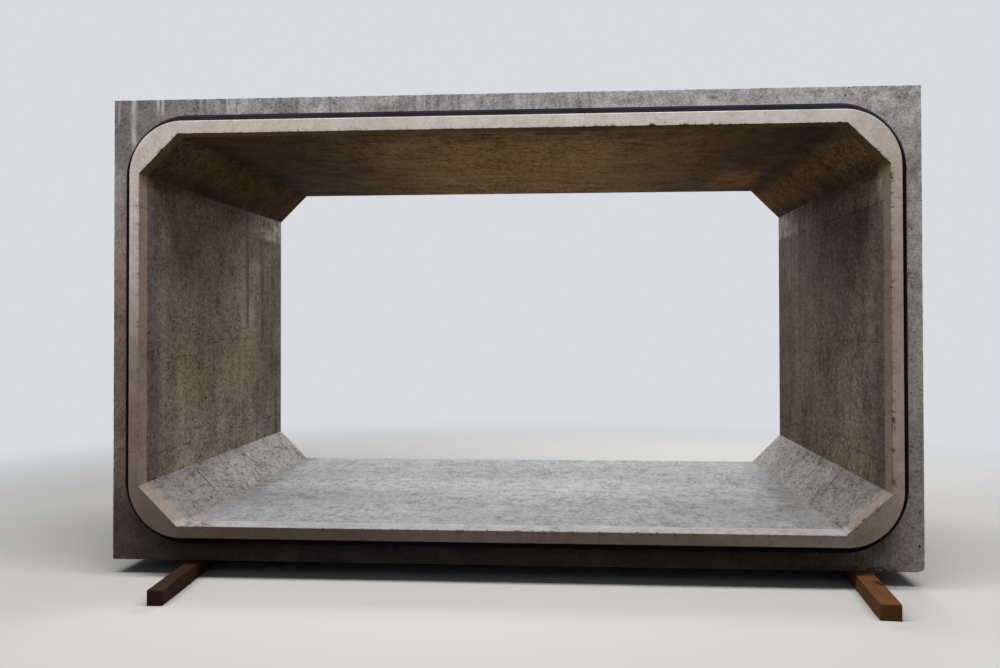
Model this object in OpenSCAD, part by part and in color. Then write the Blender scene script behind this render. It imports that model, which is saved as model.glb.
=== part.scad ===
// Precast concrete box culvert unit, standing on timber bearers as it is stored on site.
// Millimetres. Z is up, the spigot end looks towards -Y, and the origin is on the ground
// under the middle of the unit. The casting is one piece of reinforced concrete; a rubber
// ring sits on its spigot, and four lifting anchors are cast into its roof.

/* [Waterway] */
// Clear span between the inner walls
span = 3750; // [2600:50:4400]
// Clear height from the floor to the roof
rise = 2000; // [1400:50:3000]
// Leg of the sloping haunch in each inner corner
haunch = 200; // [120:10:320]

/* [Casting] */
// Thickness of the side walls
wall_t = 200; // [175:5:300]
// Thickness of the roof slab
roof_t = 210; // [190:5:320]
// Thickness of the floor slab
floor_t = 210; // [175:5:320]
// Length of the body, from the shoulder to the socket end
body_l = 2250; // [1500:50:3000]

/* [Spigot] */
// How far the spigot stands out of the shoulder
spigot_l = 110; // [95:5:150]
// Width of the spigot's end face
spigot_t = 57; // [45:1:70]
// Outer corner radius at the spigot's tip
spigot_r = 285; // [200:5:340]
// How far each outer face spreads from the tip to the shoulder
spigot_taper = 8; // [2:1:14]
// How far each inner face opens out at the mouth
flare = 11; // [4:1:18]
// Length of the flared mouth
flare_l = 60; // [30:5:90]

/* [Joint seal] */
// Distance from the spigot's tip to the rubber ring
seal_setback = 53; // [30:1:60]
// Width of the rubber ring along the spigot
seal_w = 26; // [18:1:34]
// Height of the rubber ring over its seat
seal_h = 40; // [34:1:48]

/* [Socket] */
// Gap all round between the spigot of one unit and the socket of the next
joint_gap = 22; // [14:1:26]
// Gap left between the spigot's tip and the floor of the socket
joint_play = 10; // [5:1:20]
// How far the lead-in opens the socket's rim
lead_in = 12; // [4:1:20]
// Length of the lead-in
lead_in_l = 30; // [15:5:50]

/* [Lifting anchors] */
// Distance of the anchors from the middle of the span
anchor_x = 1250; // [600:50:1700]
// Distance of the anchors from the middle of the body
anchor_y = 600; // [300:25:640]
// Radius of the round recess about each anchor
recess_r = 59; // [50:1:75]
// Depth of the anchor's head under the roof
head_drop = 12; // [6:1:20]
// Radius of the anchor's head
head_r = 23; // [18:1:30]
// Height of the anchor's head
head_h = 9; // [6:1:14]
// Radius of the anchor's shank
shank_r = 12; // [8:1:15]
// Radius of the anchor's foot in the concrete
foot_r = 30; // [22:1:40]
// Height of the anchor's foot
foot_h = 12; // [8:1:16]
// Whole length of the anchor
anchor_l = 150; // [120:5:165]

/* [Bearers] */
// Width of the left timber bearers
left_bearer_w = 75; // [60:5:120]
// Width of the right timber bearers
right_bearer_w = 95; // [60:5:120]
// Height of each timber bearer
bearer_h = 75; // [50:5:150]
// Length of each timber bearer
bearer_l = 1150; // [700:50:1250]
// How far each bearer stands out past the end of the unit
bearer_reach = 400; // [100:25:600]
// Distance of the left bearers from the left side of the unit
left_inset = 450; // [150:5:900]
// Distance of the right bearers from the right side of the unit
right_inset = 310; // [150:5:900]
// Angle by which the left bearers turn inwards
left_toe = 3; // [0:0.5:6]
// Angle by which the right bearers turn inwards
right_toe = 5; // [0:0.5:6]

/* [Hidden] */
$fn = 96;

// Directions that name the ends and sides
LEFT = -1;
RIGHT = 1;
FRONT = -1;
REAR = 1;

// The casting's overall size and levels
outer_w = span + 2 * wall_t;
outer_h = floor_t + rise + roof_t;
unit_l = body_l + spigot_l;
tip_y = -unit_l / 2;
shoulder_y = tip_y + spigot_l;
rear_y = unit_l / 2;
body_mid_y = (shoulder_y + rear_y) / 2;
roof_z = bearer_h + outer_h;
axis_z = bearer_h + floor_t + rise / 2;

// Half sizes of the spigot's outline at its tip, about the waterway's axis
tip_x = span / 2 + flare + spigot_t;
tip_z = rise / 2 + flare + spigot_t;

// Half distances between opposite faces of the eight-sided waterway
half_span = span / 2;
half_rise = rise / 2;
half_diagonal = (half_span + half_rise - haunch) / sqrt(2);

// The socket takes the next spigot with the same gap from its floor to its rim
socket_l = spigot_l + joint_play;
socket_spread = spigot_taper * socket_l / spigot_l;

// Cuts run this far past the faces they open
past = 20;

concrete = "#95918a";
rubber = "#15161a";
steel = "#6d655d";
timber = "#8d5c36";

// A long block between two opposite sloping faces. Its half width is half at y = 0 and
// half + spread at y = -length, and the faces run on to y = length_out past that end.
module facing_pair(half, spread, length, from, to) {
    slope = spread / length;
    reach = span + rise;
    linear_extrude(height = 2 * reach, center = true)
        polygon([
            [-half + slope * from, from],
            [half - slope * from, from],
            [half - slope * to, to],
            [-half + slope * to, to],
        ]);
}

// The waterway's eight-sided space between two places along Y. The faces are parallel where
// spread is 0, and otherwise they open by spread over length towards -Y.
module waterway(from, to, spread = 0, length = 1) {
    intersection() {
        facing_pair(half_span, spread, length, from, to);
        rotate([0, 90, 0]) facing_pair(half_rise, spread, length, from, to);
        rotate([0, 45, 0]) facing_pair(half_diagonal, spread, length, from, to);
        rotate([0, -45, 0]) facing_pair(half_diagonal, spread, length, from, to);
    }
}

// A block with round corners along Y, from y = 0 to y = length. Its half sizes and its corner
// radius grow by spread over that length, so its corners are cones and its sides are flat.
module rounded_block(half_x, half_z, radius, length, spread = 0) {
    for (x = [LEFT, RIGHT], z = [-1, 1])
        translate([x * (half_x - radius), 0, z * (half_z - radius)])
            rotate([-90, 0, 0])
                cylinder(h = length, r1 = radius, r2 = radius + spread);
    linear_extrude(height = 2 * (half_z - radius), center = true)
        polygon([
            [-half_x, 0],
            [half_x, 0],
            [half_x + spread, length],
            [-half_x - spread, length],
        ]);
    rotate([90, 0, 90])
        linear_extrude(height = 2 * (half_x - radius), center = true)
            polygon([
                [0, -half_z],
                [length, -half_z - spread],
                [length, half_z + spread],
                [0, half_z],
            ]);
}

// The spigot's outside, from its tip into the body
module spigot() {
    translate([0, tip_y, axis_z])
        rounded_block(tip_x, tip_z, spigot_r, spigot_l, spigot_taper);
}

// The band cut into the spigot where the rubber ring sits, level with the outline of the tip
module seal_seat() {
    translate([0, tip_y + seal_setback, axis_z]) {
        difference() {
            rotate([-90, 0, 0])
                linear_extrude(height = seal_w)
                    square([outer_w, outer_h], center = true);
            translate([0, -past, 0])
                rounded_block(tip_x, tip_z, spigot_r, seal_w + 2 * past);
        }
    }
}

// The space that takes the next unit's spigot: a parallel socket and its lead-in
module socket() {
    translate([0, rear_y - socket_l, axis_z])
        rounded_block(
            tip_x + joint_gap, tip_z + joint_gap, spigot_r + joint_gap, socket_l, socket_spread
        );
    lead_x = tip_x + joint_gap + socket_spread;
    lead_z = tip_z + joint_gap + socket_spread;
    lead_r = spigot_r + joint_gap + socket_spread;
    translate([0, rear_y - lead_in_l, axis_z])
        rounded_block(lead_x, lead_z, lead_r, lead_in_l, lead_in);
    translate([0, rear_y, axis_z])
        rounded_block(lead_x + lead_in, lead_z + lead_in, lead_r + lead_in, past);
}

// Puts its children at one anchor's place on the roof
module at_anchor(end, side) {
    translate([side * anchor_x, body_mid_y + end * anchor_y, roof_z]) children();
}

// Outline of an anchor's right half: head, shank and foot, down from the middle of its top
module anchor_profile() {
    neck = (head_r - shank_r) / 2;
    polygon([
        [0, -head_drop],
        [head_r - 3, -head_drop],
        [head_r, -head_drop - 3],
        [head_r, -head_drop - head_h],
        [shank_r, -head_drop - head_h - neck],
        [shank_r, -head_drop - anchor_l + foot_h + neck],
        [foot_r, -head_drop - anchor_l + foot_h],
        [foot_r, -head_drop - anchor_l],
        [0, -head_drop - anchor_l],
    ]);
}

// A headed steel pin, revolved
module anchor_pin() {
    rotate_extrude() anchor_profile();
}

// The casting: body and spigot, opened by the waterway, the flared mouth, the socket at the
// rear, the seat of the rubber ring and the anchors' recesses
module box_unit() {
    color(concrete)
        difference() {
            union() {
                translate([-outer_w / 2, shoulder_y, bearer_h])
                    cube([outer_w, body_l, outer_h]);
                spigot();
            }
            seal_seat();
            translate([0, 0, axis_z]) waterway(tip_y - past, rear_y + past);
            translate([0, tip_y + flare_l, axis_z])
                waterway(-flare_l - past, 0, flare, flare_l);
            socket();
            for (end = [FRONT, REAR], side = [LEFT, RIGHT])
                at_anchor(end, side) {
                    sphere(r = recess_r);
                    anchor_pin();
                }
        }
}

// Section of the rubber ring: a flat root on the seat and a round crown
module seal_section() {
    crown = seal_w / 2;
    square([seal_h - crown, seal_w]);
    translate([seal_h - crown, crown]) circle(r = crown);
}

// One straight run of the ring, at a distance from the axis, turned about Y from +X
module seal_run(distance, length, turn) {
    rotate([0, -turn, 0])
        linear_extrude(height = length, center = true)
            translate([distance, 0])
                seal_section();
}

// One quarter turn of the ring about a corner of the spigot
module seal_corner(x, z, turn) {
    translate([x * (tip_x - spigot_r), 0, z * (tip_z - spigot_r)])
        rotate([-90, 0, 0])
            rotate([0, 0, turn])
                rotate_extrude(angle = 90)
                    translate([spigot_r, 0])
                        seal_section();
}

// The rubber ring stretched round the spigot
module joint_seal() {
    straight_x = 2 * (tip_x - spigot_r);
    straight_z = 2 * (tip_z - spigot_r);
    color(rubber)
        translate([0, tip_y + seal_setback, axis_z]) {
            seal_run(tip_x, straight_z, 0);
            seal_run(tip_z, straight_x, 90);
            seal_run(tip_x, straight_z, 180);
            seal_run(tip_z, straight_x, 270);
            seal_corner(RIGHT, 1, -90);
            seal_corner(RIGHT, -1, 0);
            seal_corner(LEFT, -1, 90);
            seal_corner(LEFT, 1, 180);
        }
}

// One cast-in lifting anchor
module lifting_anchor(end, side) {
    color(steel) at_anchor(end, side) anchor_pin();
}

// One timber bearer. It crosses the end plane of the unit at its inset from the side, and
// turns inwards by its toe angle as it comes out from under the unit.
module bearer(end, side, width, inset, toe) {
    color(timber)
        translate([side * (outer_w / 2 - inset), end * unit_l / 2, 0])
            rotate([0, 0, end * side * toe])
                translate([-width / 2, end > 0 ? bearer_reach - bearer_l : -bearer_reach, 0])
                    cube([width, bearer_l, bearer_h]);
}

// One of the bearers under the left side
module left_bearer(end) {
    bearer(end, LEFT, left_bearer_w, left_inset, left_toe);
}

// One of the bearers under the right side
module right_bearer(end) {
    bearer(end, RIGHT, right_bearer_w, right_inset, right_toe);
}

box_unit();
joint_seal();
lifting_anchor(FRONT, LEFT);  // lifting_anchor_front_left
lifting_anchor(FRONT, RIGHT);  // lifting_anchor_front_right
lifting_anchor(REAR, LEFT);  // lifting_anchor_rear_left
lifting_anchor(REAR, RIGHT);  // lifting_anchor_rear_right
left_bearer(FRONT);  // bearer_front_left
right_bearer(FRONT);  // bearer_front_right
left_bearer(REAR);  // bearer_rear_left
right_bearer(REAR);  // bearer_rear_right
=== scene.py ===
"""The looks of a precast concrete box culvert unit that is stored on timber bearers.

The unit is one casting: an oblong waterway with four sloping haunches, a spigot with round
corners at the front and a socket at the rear. A rubber ring sits on the spigot, and four
lifting anchors are cast into the roof. Everything is in metres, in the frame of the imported
model: Z is up, the spigot looks towards -Y, and the ground is at Z = 0.
"""

from __future__ import annotations

import logging
import math
from dataclasses import dataclass, replace
from enum import Enum, IntEnum
from typing import Any, Mapping, Sequence

import bpy
import numpy as np
from mathutils import Matrix, Vector
from numpy.typing import NDArray

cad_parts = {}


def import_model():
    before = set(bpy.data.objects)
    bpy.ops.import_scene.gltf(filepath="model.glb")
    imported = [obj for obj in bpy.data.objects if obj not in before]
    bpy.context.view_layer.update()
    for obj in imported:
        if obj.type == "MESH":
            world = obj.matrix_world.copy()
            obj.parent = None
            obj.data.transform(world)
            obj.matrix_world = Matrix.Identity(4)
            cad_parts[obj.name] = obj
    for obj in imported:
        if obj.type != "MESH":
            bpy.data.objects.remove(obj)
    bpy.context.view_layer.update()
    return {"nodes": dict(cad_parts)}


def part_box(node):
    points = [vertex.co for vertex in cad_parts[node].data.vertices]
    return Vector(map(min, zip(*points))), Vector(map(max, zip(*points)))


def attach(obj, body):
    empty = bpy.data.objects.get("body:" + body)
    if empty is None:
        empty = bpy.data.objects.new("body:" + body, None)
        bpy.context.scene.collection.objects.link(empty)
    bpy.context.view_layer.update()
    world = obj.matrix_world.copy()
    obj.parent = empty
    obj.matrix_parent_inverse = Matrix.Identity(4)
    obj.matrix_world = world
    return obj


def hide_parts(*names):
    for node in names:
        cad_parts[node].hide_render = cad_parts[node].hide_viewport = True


LOG = logging.getLogger("culvert_unit")

Array = NDArray[np.float64]
Colour = tuple[float, float, float]
Place = tuple[float, float, float]
Socket = bpy.types.NodeSocket
Value = float | Socket


class Corner(Enum):
    """How a ring round the waterway turns its four corners."""

    CUT = "straight haunch"
    ROUND = "quarter circle"
    SQUARE = "sharp corner"


class Zone(IntEnum):
    """Parts of the casting with a finish of their own. The value is the material's slot."""

    FACE = 0
    FORM = 1
    WALL = 2
    CEILING = 3
    FLOOR = 4
    HAUNCH = 5
    LIP = 6


class Axis(IntEnum):
    """An axis of the frame, as its place in a vector."""

    X = 0
    Y = 1
    Z = 2


X, Y, Z = Axis
FORWARDS = np.array([0.0, 1.0, 0.0])

# Helpers for numbers and meshes


def tone(red: int, green: int, blue: int) -> Colour:
    """Turns a colour as seen, 0 to 255 a channel, into a shader's by the sRGB curve.

    Args:
        red: Red as seen.
        green: Green as seen.
        blue: Blue as seen.

    Returns:
        The shader's three channels.
    """
    seen = np.array([red, green, blue]) / 255.0
    linear = np.where(seen <= 0.04045, seen / 12.92, ((seen + 0.055) / 1.055) ** 2.4)
    return tuple(float(channel) for channel in linear)


def smooth_step(value: Array, low: float, high: float) -> Array:
    """Rises from 0 at low to 1 at high, level at both ends."""
    share = np.clip((value - low) / (high - low), 0.0, 1.0)
    return share * share * (3.0 - 2.0 * share)


def scramble(places: Array, seed: int) -> Array:
    """Gives each whole-number place a value from 0 to 1 that is the same on every run.

    Args:
        places: Whole numbers, three to a place.
        seed: Chooses another set of values.

    Returns:
        One value for each place.
    """
    primes = np.array([73856093, 19349663, 83492791], dtype=np.uint64)
    mixed = places.astype(np.int64).astype(np.uint64) * primes
    mixed = mixed[..., 0] ^ mixed[..., 1] ^ mixed[..., 2]
    mixed = (mixed + np.uint64(seed * 7919 + 1)) * np.uint64(0x9E3779B97F4A7C15)
    mixed = (mixed ^ (mixed >> np.uint64(29))) * np.uint64(0xBF58476D1CE4E5B9)
    return ((mixed >> np.uint64(40)) & np.uint64(0xFFFFFF)) / float(0xFFFFFF)


def lattice_noise(points: Array, size: float, seed: int) -> Array:
    """Smooth noise from -1 to 1.

    Formula: each corner of a cubic lattice has a scrambled value, and a point takes the mean
    of the eight corners round it, weighted by a smooth step of its place in the cell.

    Args:
        points: Places in metres.
        size: Width of one cell in metres.
        seed: Chooses another set of values.

    Returns:
        One value for each point.
    """
    cell = np.floor(points / size)
    part = smooth_step(points / size - cell, 0.0, 1.0)
    total = np.zeros(points.shape[:-1])
    for corner in np.ndindex(2, 2, 2):
        step = np.array(corner)
        share = np.prod(np.where(step == 1, part, 1.0 - part), axis=-1)
        total += share * scramble(cell + step, seed)
    return 2.0 * total - 1.0


def ring_faces(rows: int, columns: int, closed: bool) -> NDArray[np.int64]:
    """Joins the points of a grid to four-sided faces. Each row is a closed ring.

    Args:
        rows: Number of rings.
        columns: Number of points on each ring.
        closed: Whether the last ring joins the first.

    Returns:
        Four indices for each face, in the order that turns it outwards.
    """
    row, column = np.meshgrid(
        np.arange(rows if closed else rows - 1), np.arange(columns), indexing="ij"
    )
    below, beside = (row + 1) % rows, (column + 1) % columns
    corners = [(row, column), (below, column), (below, beside), (row, beside)]
    return np.stack([r * columns + c for r, c in corners], axis=-1).reshape(-1, 4)


def make_object(
    name: str,
    points: Array,
    faces: Sequence[NDArray[np.int64]],
    zones: NDArray[np.int64] | None = None,
    attributes: Mapping[str, Array] | None = None,
) -> bpy.types.Object:
    """Puts whole arrays into a new mesh and links its object.

    Args:
        name: Name of the object and the mesh.
        points: Places of the vertices.
        faces: Arrays of vertex indices. Each array holds faces with one number of sides.
        zones: Material slot of each face, or None for the first slot.
        attributes: Values for each vertex, one or three to a vertex, by attribute name.

    Returns:
        The object, at the origin.
    """
    points = points.reshape(-1, 3)
    sides = np.concatenate([np.full(len(block), block.shape[1]) for block in faces])
    corners = np.concatenate([block.ravel() for block in faces])
    mesh = bpy.data.meshes.new(name)
    mesh.vertices.add(len(points))
    mesh.vertices.foreach_set("co", points.astype(np.float32).ravel())
    mesh.loops.add(len(corners))
    mesh.loops.foreach_set("vertex_index", corners.astype(np.int32))
    mesh.polygons.add(len(sides))
    mesh.polygons.foreach_set("loop_start", (np.cumsum(sides) - sides).astype(np.int32))
    if zones is not None:
        mesh.polygons.foreach_set("material_index", zones.astype(np.int32).ravel())
    for label, values in (attributes or {}).items():
        single = values.reshape(len(points), -1).shape[1] == 1
        layer = mesh.attributes.new(label, "FLOAT" if single else "FLOAT_VECTOR", "POINT")
        flat = values.astype(np.float32).ravel()
        layer.data.foreach_set("value" if single else "vector", flat)
    mesh.update(calc_edges=True)
    mesh.validate()
    made = bpy.data.objects.new(name, mesh)
    bpy.context.scene.collection.objects.link(made)
    return made


def shade(made: bpy.types.Object, sharp_degrees: float) -> None:
    """Shades a piece smooth and keeps the edges sharp that turn by more than an angle."""
    made.data.shade_smooth()
    made.data.set_sharp_from_angle(angle=math.radians(sharp_degrees))


# The rings that the casting's and the seal's surfaces run through


@dataclass(frozen=True)
class Around:
    """Numbers of samples along each side and corner of a ring.

    Attributes:
        side_x: On the upper side, and as many on the lower.
        side_z: On each of the other two sides.
        corner: On each corner.
    """

    side_x: int
    side_z: int
    corner: int

    @property
    def total(self) -> int:
        """Number of samples on the whole ring."""
        return 2 * (self.side_x + self.side_z) + 4 * self.corner


@dataclass(frozen=True)
class Ring:
    """A closed line square to the Y axis, with four equal corners, about a level axis.

    Attributes:
        corner: How the corners turn.
        half_x: Half of the width.
        half_z: Half of the height.
        leg: How far each corner reaches along both sides.
        y: Place along the Y axis.
        axis_z: Height of the axis.
        off_x: How far the ring's middle lies right of the axis.
        off_z: How far it lies above the axis.
    """

    corner: Corner
    half_x: float
    half_z: float
    leg: float
    y: float
    axis_z: float
    off_x: float = 0.0
    off_z: float = 0.0

    def grown(self, by: float) -> Ring:
        """Gives the ring whose sides and corners all lie further out by one distance."""
        leg = self.leg + (2.0 - math.sqrt(2.0) if self.corner is Corner.CUT else 1.0) * by
        return replace(self, half_x=self.half_x + by, half_z=self.half_z + by, leg=leg)

    def at(self, y: float) -> Ring:
        """Gives the same ring at another place along Y."""
        return replace(self, y=y)

    def cast(self, left: float, right: float, top: float, bottom: float) -> Ring:
        """Gives the ring with each side moved out by a distance of its own.

        Args:
            left: How far the left side moves out.
            right: How far the right one does.
            top: How far the upper one does.
            bottom: How far the lower one does.

        Returns:
            The ring as it was cast.
        """
        return replace(
            self,
            half_x=self.half_x + (left + right) / 2.0,
            half_z=self.half_z + (top + bottom) / 2.0,
            off_x=self.off_x + (right - left) / 2.0,
            off_z=self.off_z + (top - bottom) / 2.0,
        )

    def corner_line(self, share: Array) -> tuple[Array, Array]:
        """Gives the upper right corner's line as offsets from its square corner, in legs.

        Formula: a haunch is the straight line from (0, -1) to (-1, 0), a round corner is a
        quarter circle about (-1, -1), and a square one goes up to (0, 0) and then left.

        Args:
            share: Place along the corner, from 0 at its right end to 1 at its top end.

        Returns:
            The offsets along X and along Z.
        """
        if self.corner is Corner.CUT:
            return -share, share - 1.0
        if self.corner is Corner.ROUND:
            angle = share * math.pi / 2.0
            return np.cos(angle) - 1.0, np.sin(angle) - 1.0
        return -np.clip(2.0 * share - 1.0, 0.0, 1.0), np.clip(2.0 * share, 0.0, 1.0) - 1.0

    def points(self, around: Around) -> Array:
        """Samples the ring anticlockwise as seen from the front, from its right side's top.

        Formula: each corner is the upper right one mirrored in X and Z, run backwards where
        one of the two is mirrored, and each side is the straight line to its mirror image.

        Args:
            around: How many samples to take.

        Returns:
            One point for each sample.
        """
        blocks = []
        for mirror_x, mirror_z in ((1, 1), (-1, 1), (-1, -1), (1, -1)):
            share = np.linspace(0.0, 1.0, around.corner + 1)
            level = mirror_x * mirror_z > 0
            along_x, along_z = self.corner_line(share if level else 1.0 - share)
            x = mirror_x * (self.half_x + self.leg * along_x)
            z = mirror_z * (self.half_z + self.leg * along_z)
            end_x, end_z = (-x[-1], z[-1]) if level else (x[-1], -z[-1])
            count = around.side_x if level else around.side_z
            side_x = np.linspace(x[-1], end_x, count, endpoint=False)
            side_z = np.linspace(z[-1], end_z, count, endpoint=False)
            blocks.append(np.stack([np.append(x[:-1], side_x), np.append(z[:-1], side_z)]))
        x, z = np.concatenate(blocks, axis=1)
        y = np.full_like(x, self.y)
        return np.stack([x + self.off_x, y, z + self.axis_z + self.off_z], axis=-1)

    def spread(self, around: Around) -> Array:
        """Gives how far each sample moves when the ring grows by one metre."""
        return self.grown(1.0).points(around) - self.points(around)


@dataclass(frozen=True)
class UnitSizes:
    """The unit's sizes in metres. What the frame gives is read from it.

    Attributes:
        half_width: Half of the overall width.
        low_z: Height of the underside.
        high_z: Height of the top.
        tip_y: Place of the spigot's tip along the Y axis.
        rear_y: Place of the rear end.
        span: Clear width of the waterway.
        rise: Clear height of it.
        haunch: Leg of its sloping haunches.
        spigot_l: How far the spigot stands out.
        spigot_t: Width of the spigot's end face.
        spigot_r: Corner radius at the tip.
        spigot_taper: How far the spigot's outside spreads to the shoulder.
        flare: How far the mouth opens out.
        flare_l: Length of the flared mouth.
        seal_setback: Distance from the tip to the rubber ring.
        seal_w: The ring's width along the spigot.
        seal_h: Its height over its seat.
        joint_gap: Gap round a spigot in a socket.
        joint_play: Gap between a tip and the socket's floor.
        lead_in: How far the lead-in opens the socket's rim.
        lead_in_l: Length of the lead-in.
        recess_r: Radius of the recess about each anchor.
    """

    half_width: float
    low_z: float
    high_z: float
    tip_y: float
    rear_y: float
    span: float = 3.750
    rise: float = 2.000
    haunch: float = 0.200
    spigot_l: float = 0.110
    spigot_t: float = 0.057
    spigot_r: float = 0.285
    spigot_taper: float = 0.008
    flare: float = 0.011
    flare_l: float = 0.060
    seal_setback: float = 0.053
    seal_w: float = 0.026
    seal_h: float = 0.040
    joint_gap: float = 0.022
    joint_play: float = 0.010
    lead_in: float = 0.012
    lead_in_l: float = 0.030
    recess_r: float = 0.059

    @classmethod
    def from_frame(cls, node: str) -> UnitSizes:
        """Reads the casting's overall box from its node."""
        low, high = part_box(node)
        return cls(high.x, low.z, high.z, low.y, high.y)

    @property
    def axis_z(self) -> float:
        """Height of the waterway's axis."""
        return (self.low_z + self.high_z) / 2.0

    @property
    def floor_z(self) -> float:
        """Height of the waterway's floor."""
        return self.axis_z - self.rise / 2.0

    @property
    def shoulder_y(self) -> float:
        """Place of the shoulder, where the spigot stands out of the body."""
        return self.tip_y + self.spigot_l

    @property
    def waterway(self) -> Ring:
        """The eight-sided waterway at the inner end of its flared mouth."""
        half_x, half_z, y = self.span / 2.0, self.rise / 2.0, self.tip_y + self.flare_l
        return Ring(Corner.CUT, half_x, half_z, self.haunch, y, self.axis_z)

    @property
    def mouth(self) -> Ring:
        """The waterway's outline in the spigot's end face, as drawn."""
        return self.waterway.grown(self.flare).at(self.tip_y)

    @property
    def cast_mouth(self) -> Ring:
        """The mouth's outline as it was cast, a few millimetres off the drawn one."""
        cast = self.mouth.cast(-0.0010, 0.0, -0.0058, -0.0030)
        return replace(cast, leg=cast.leg - 0.004)

    @property
    def cast_tip(self) -> Ring:
        """The tip's outline as it was cast, a few millimetres off the drawn one."""
        cast = self.tip.cast(-0.0065, -0.0020, 0.0027, 0.0)
        return replace(cast, leg=cast.leg - 0.008)

    @property
    def tip(self) -> Ring:
        """The spigot's outer outline in its end face, as drawn."""
        half_x, half_z = self.mouth.half_x + self.spigot_t, self.mouth.half_z + self.spigot_t
        return Ring(Corner.ROUND, half_x, half_z, self.spigot_r, self.tip_y, self.axis_z)

    @property
    def body(self) -> Ring:
        """The body's outline at the shoulder. Its corner samples face the spigot's.

        Returns:
            The outline.
        """
        root = self.spigot(self.spigot_l)
        half_x, half_z = self.half_width, (self.high_z - self.low_z) / 2.0
        leg = half_x - root.half_x + root.leg
        return Ring(Corner.SQUARE, half_x, half_z, leg, self.shoulder_y, self.axis_z)

    def spigot(self, depth: float) -> Ring:
        """Gives the spigot's outside at a depth behind its tip, as it was cast."""
        grown = self.cast_tip.grown(self.spigot_taper * depth / self.spigot_l)
        return grown.at(self.tip_y + depth)

    def socket(self, from_rear: float) -> Ring:
        """Gives the socket's wall at a distance in front of the rear end.

        Args:
            from_rear: Distance in front of the rear end.

        Returns:
            The wall's ring.
        """
        depth = self.spigot_l + self.joint_play - from_rear
        spread = self.joint_gap + self.spigot_taper * depth / self.spigot_l
        return self.tip.grown(spread).at(self.rear_y - from_rear)


@dataclass(frozen=True)
class Dent:
    """A stretch of an arris that has lost more concrete than the rest.

    Attributes:
        place: Its middle.
        reach: How far it spreads from there.
        depth: The most that it adds to the blunted edge's width.
    """

    place: Place
    reach: float
    depth: float


@dataclass(frozen=True)
class Wear:
    """How far an arris has lost its sharp edge, in metres.

    Attributes:
        width: Even width of the blunted edge.
        rough: How much the width changes from one grain of stone to the next.
        chip: Extra width of the chips.
        chip_share: Share of the arris that is chipped.
        wander: How far the edge strays inwards from its straight line.
        cell: Size of the chips.
        dents: Places with more damage.
        seed: Chooses the pattern.
        light: 1 where its breaks are pale, newly broken concrete with a painted highlight, and -1
            where they are dark, with painted shade.
        least: The width that every arris has.
        fine: Size of the finest noise, a grain of stone.
        middle: Size of the next noise, a few grains.
    """

    width: float
    rough: float
    chip: float
    chip_share: float
    wander: float = 0.0
    cell: float = 0.075
    dents: tuple[Dent, ...] = ()
    seed: int = 1
    light: float = 1.0
    least: float = 0.0009
    fine: float = 0.010
    middle: float = 0.021

    def widths(self, points: Array) -> Array:
        """Gives the width of the blunted edge at each point.

        Formula: the even width, plus fine noise, plus chips where coarse noise is over a
        limit, plus a smooth hump at each dent, most of it in nicks.

        Args:
            points: Places on the arris.

        Returns:
            The width in metres at each.
        """
        fine = lattice_noise(points, self.fine, self.seed)
        middle = lattice_noise(points, self.middle, self.seed + 1)
        coarse = 0.55 * lattice_noise(points, self.cell, self.seed + 2) + 0.45 * middle
        limit = 0.7 - 1.2 * self.chip_share
        chips = smooth_step(coarse, limit, limit + 0.25) * (0.7 + 0.5 * fine)
        width = self.width + self.rough * (0.5 * fine + 0.5 * middle) + self.chip * chips
        nicks = smooth_step(0.7 * fine + 0.5 * middle, 0.1, 0.5)
        for dent in self.dents:
            away = np.linalg.norm(points - np.array(dent.place), axis=-1)
            hump = 1.0 - smooth_step(away, 0.25 * dent.reach, dent.reach)
            width = width + dent.depth * hump * (0.35 + 1.1 * nicks)
        return np.clip(width, self.least, None)

    def strays(self, points: Array) -> Array:
        """Gives how far the edge lies inside its straight line at each point.

        Args:
            points: Places on the arris.

        Returns:
            The distance in metres at each.
        """
        coarse = lattice_noise(points, 0.23, self.seed + 3)
        fine = lattice_noise(points, 0.03, self.seed + 4)
        return self.wander * (0.5 + 0.32 * coarse + 0.18 * fine)


@dataclass(frozen=True)
class Station:
    """One key ring of the casting's section and the surface that follows it.

    Attributes:
        ring: The ring.
        zone: Zone of the surface up to the next station, or None in the waterway, where
            each side has its own.
        wear: State of the arris at this ring, or None where the surface turns inwards.
        fill: Places of extra rows on the way to the next station, as shares of the way.
    """

    ring: Ring
    zone: Zone | None
    wear: Wear | None = None
    fill: tuple[float, ...] = ()


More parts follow.
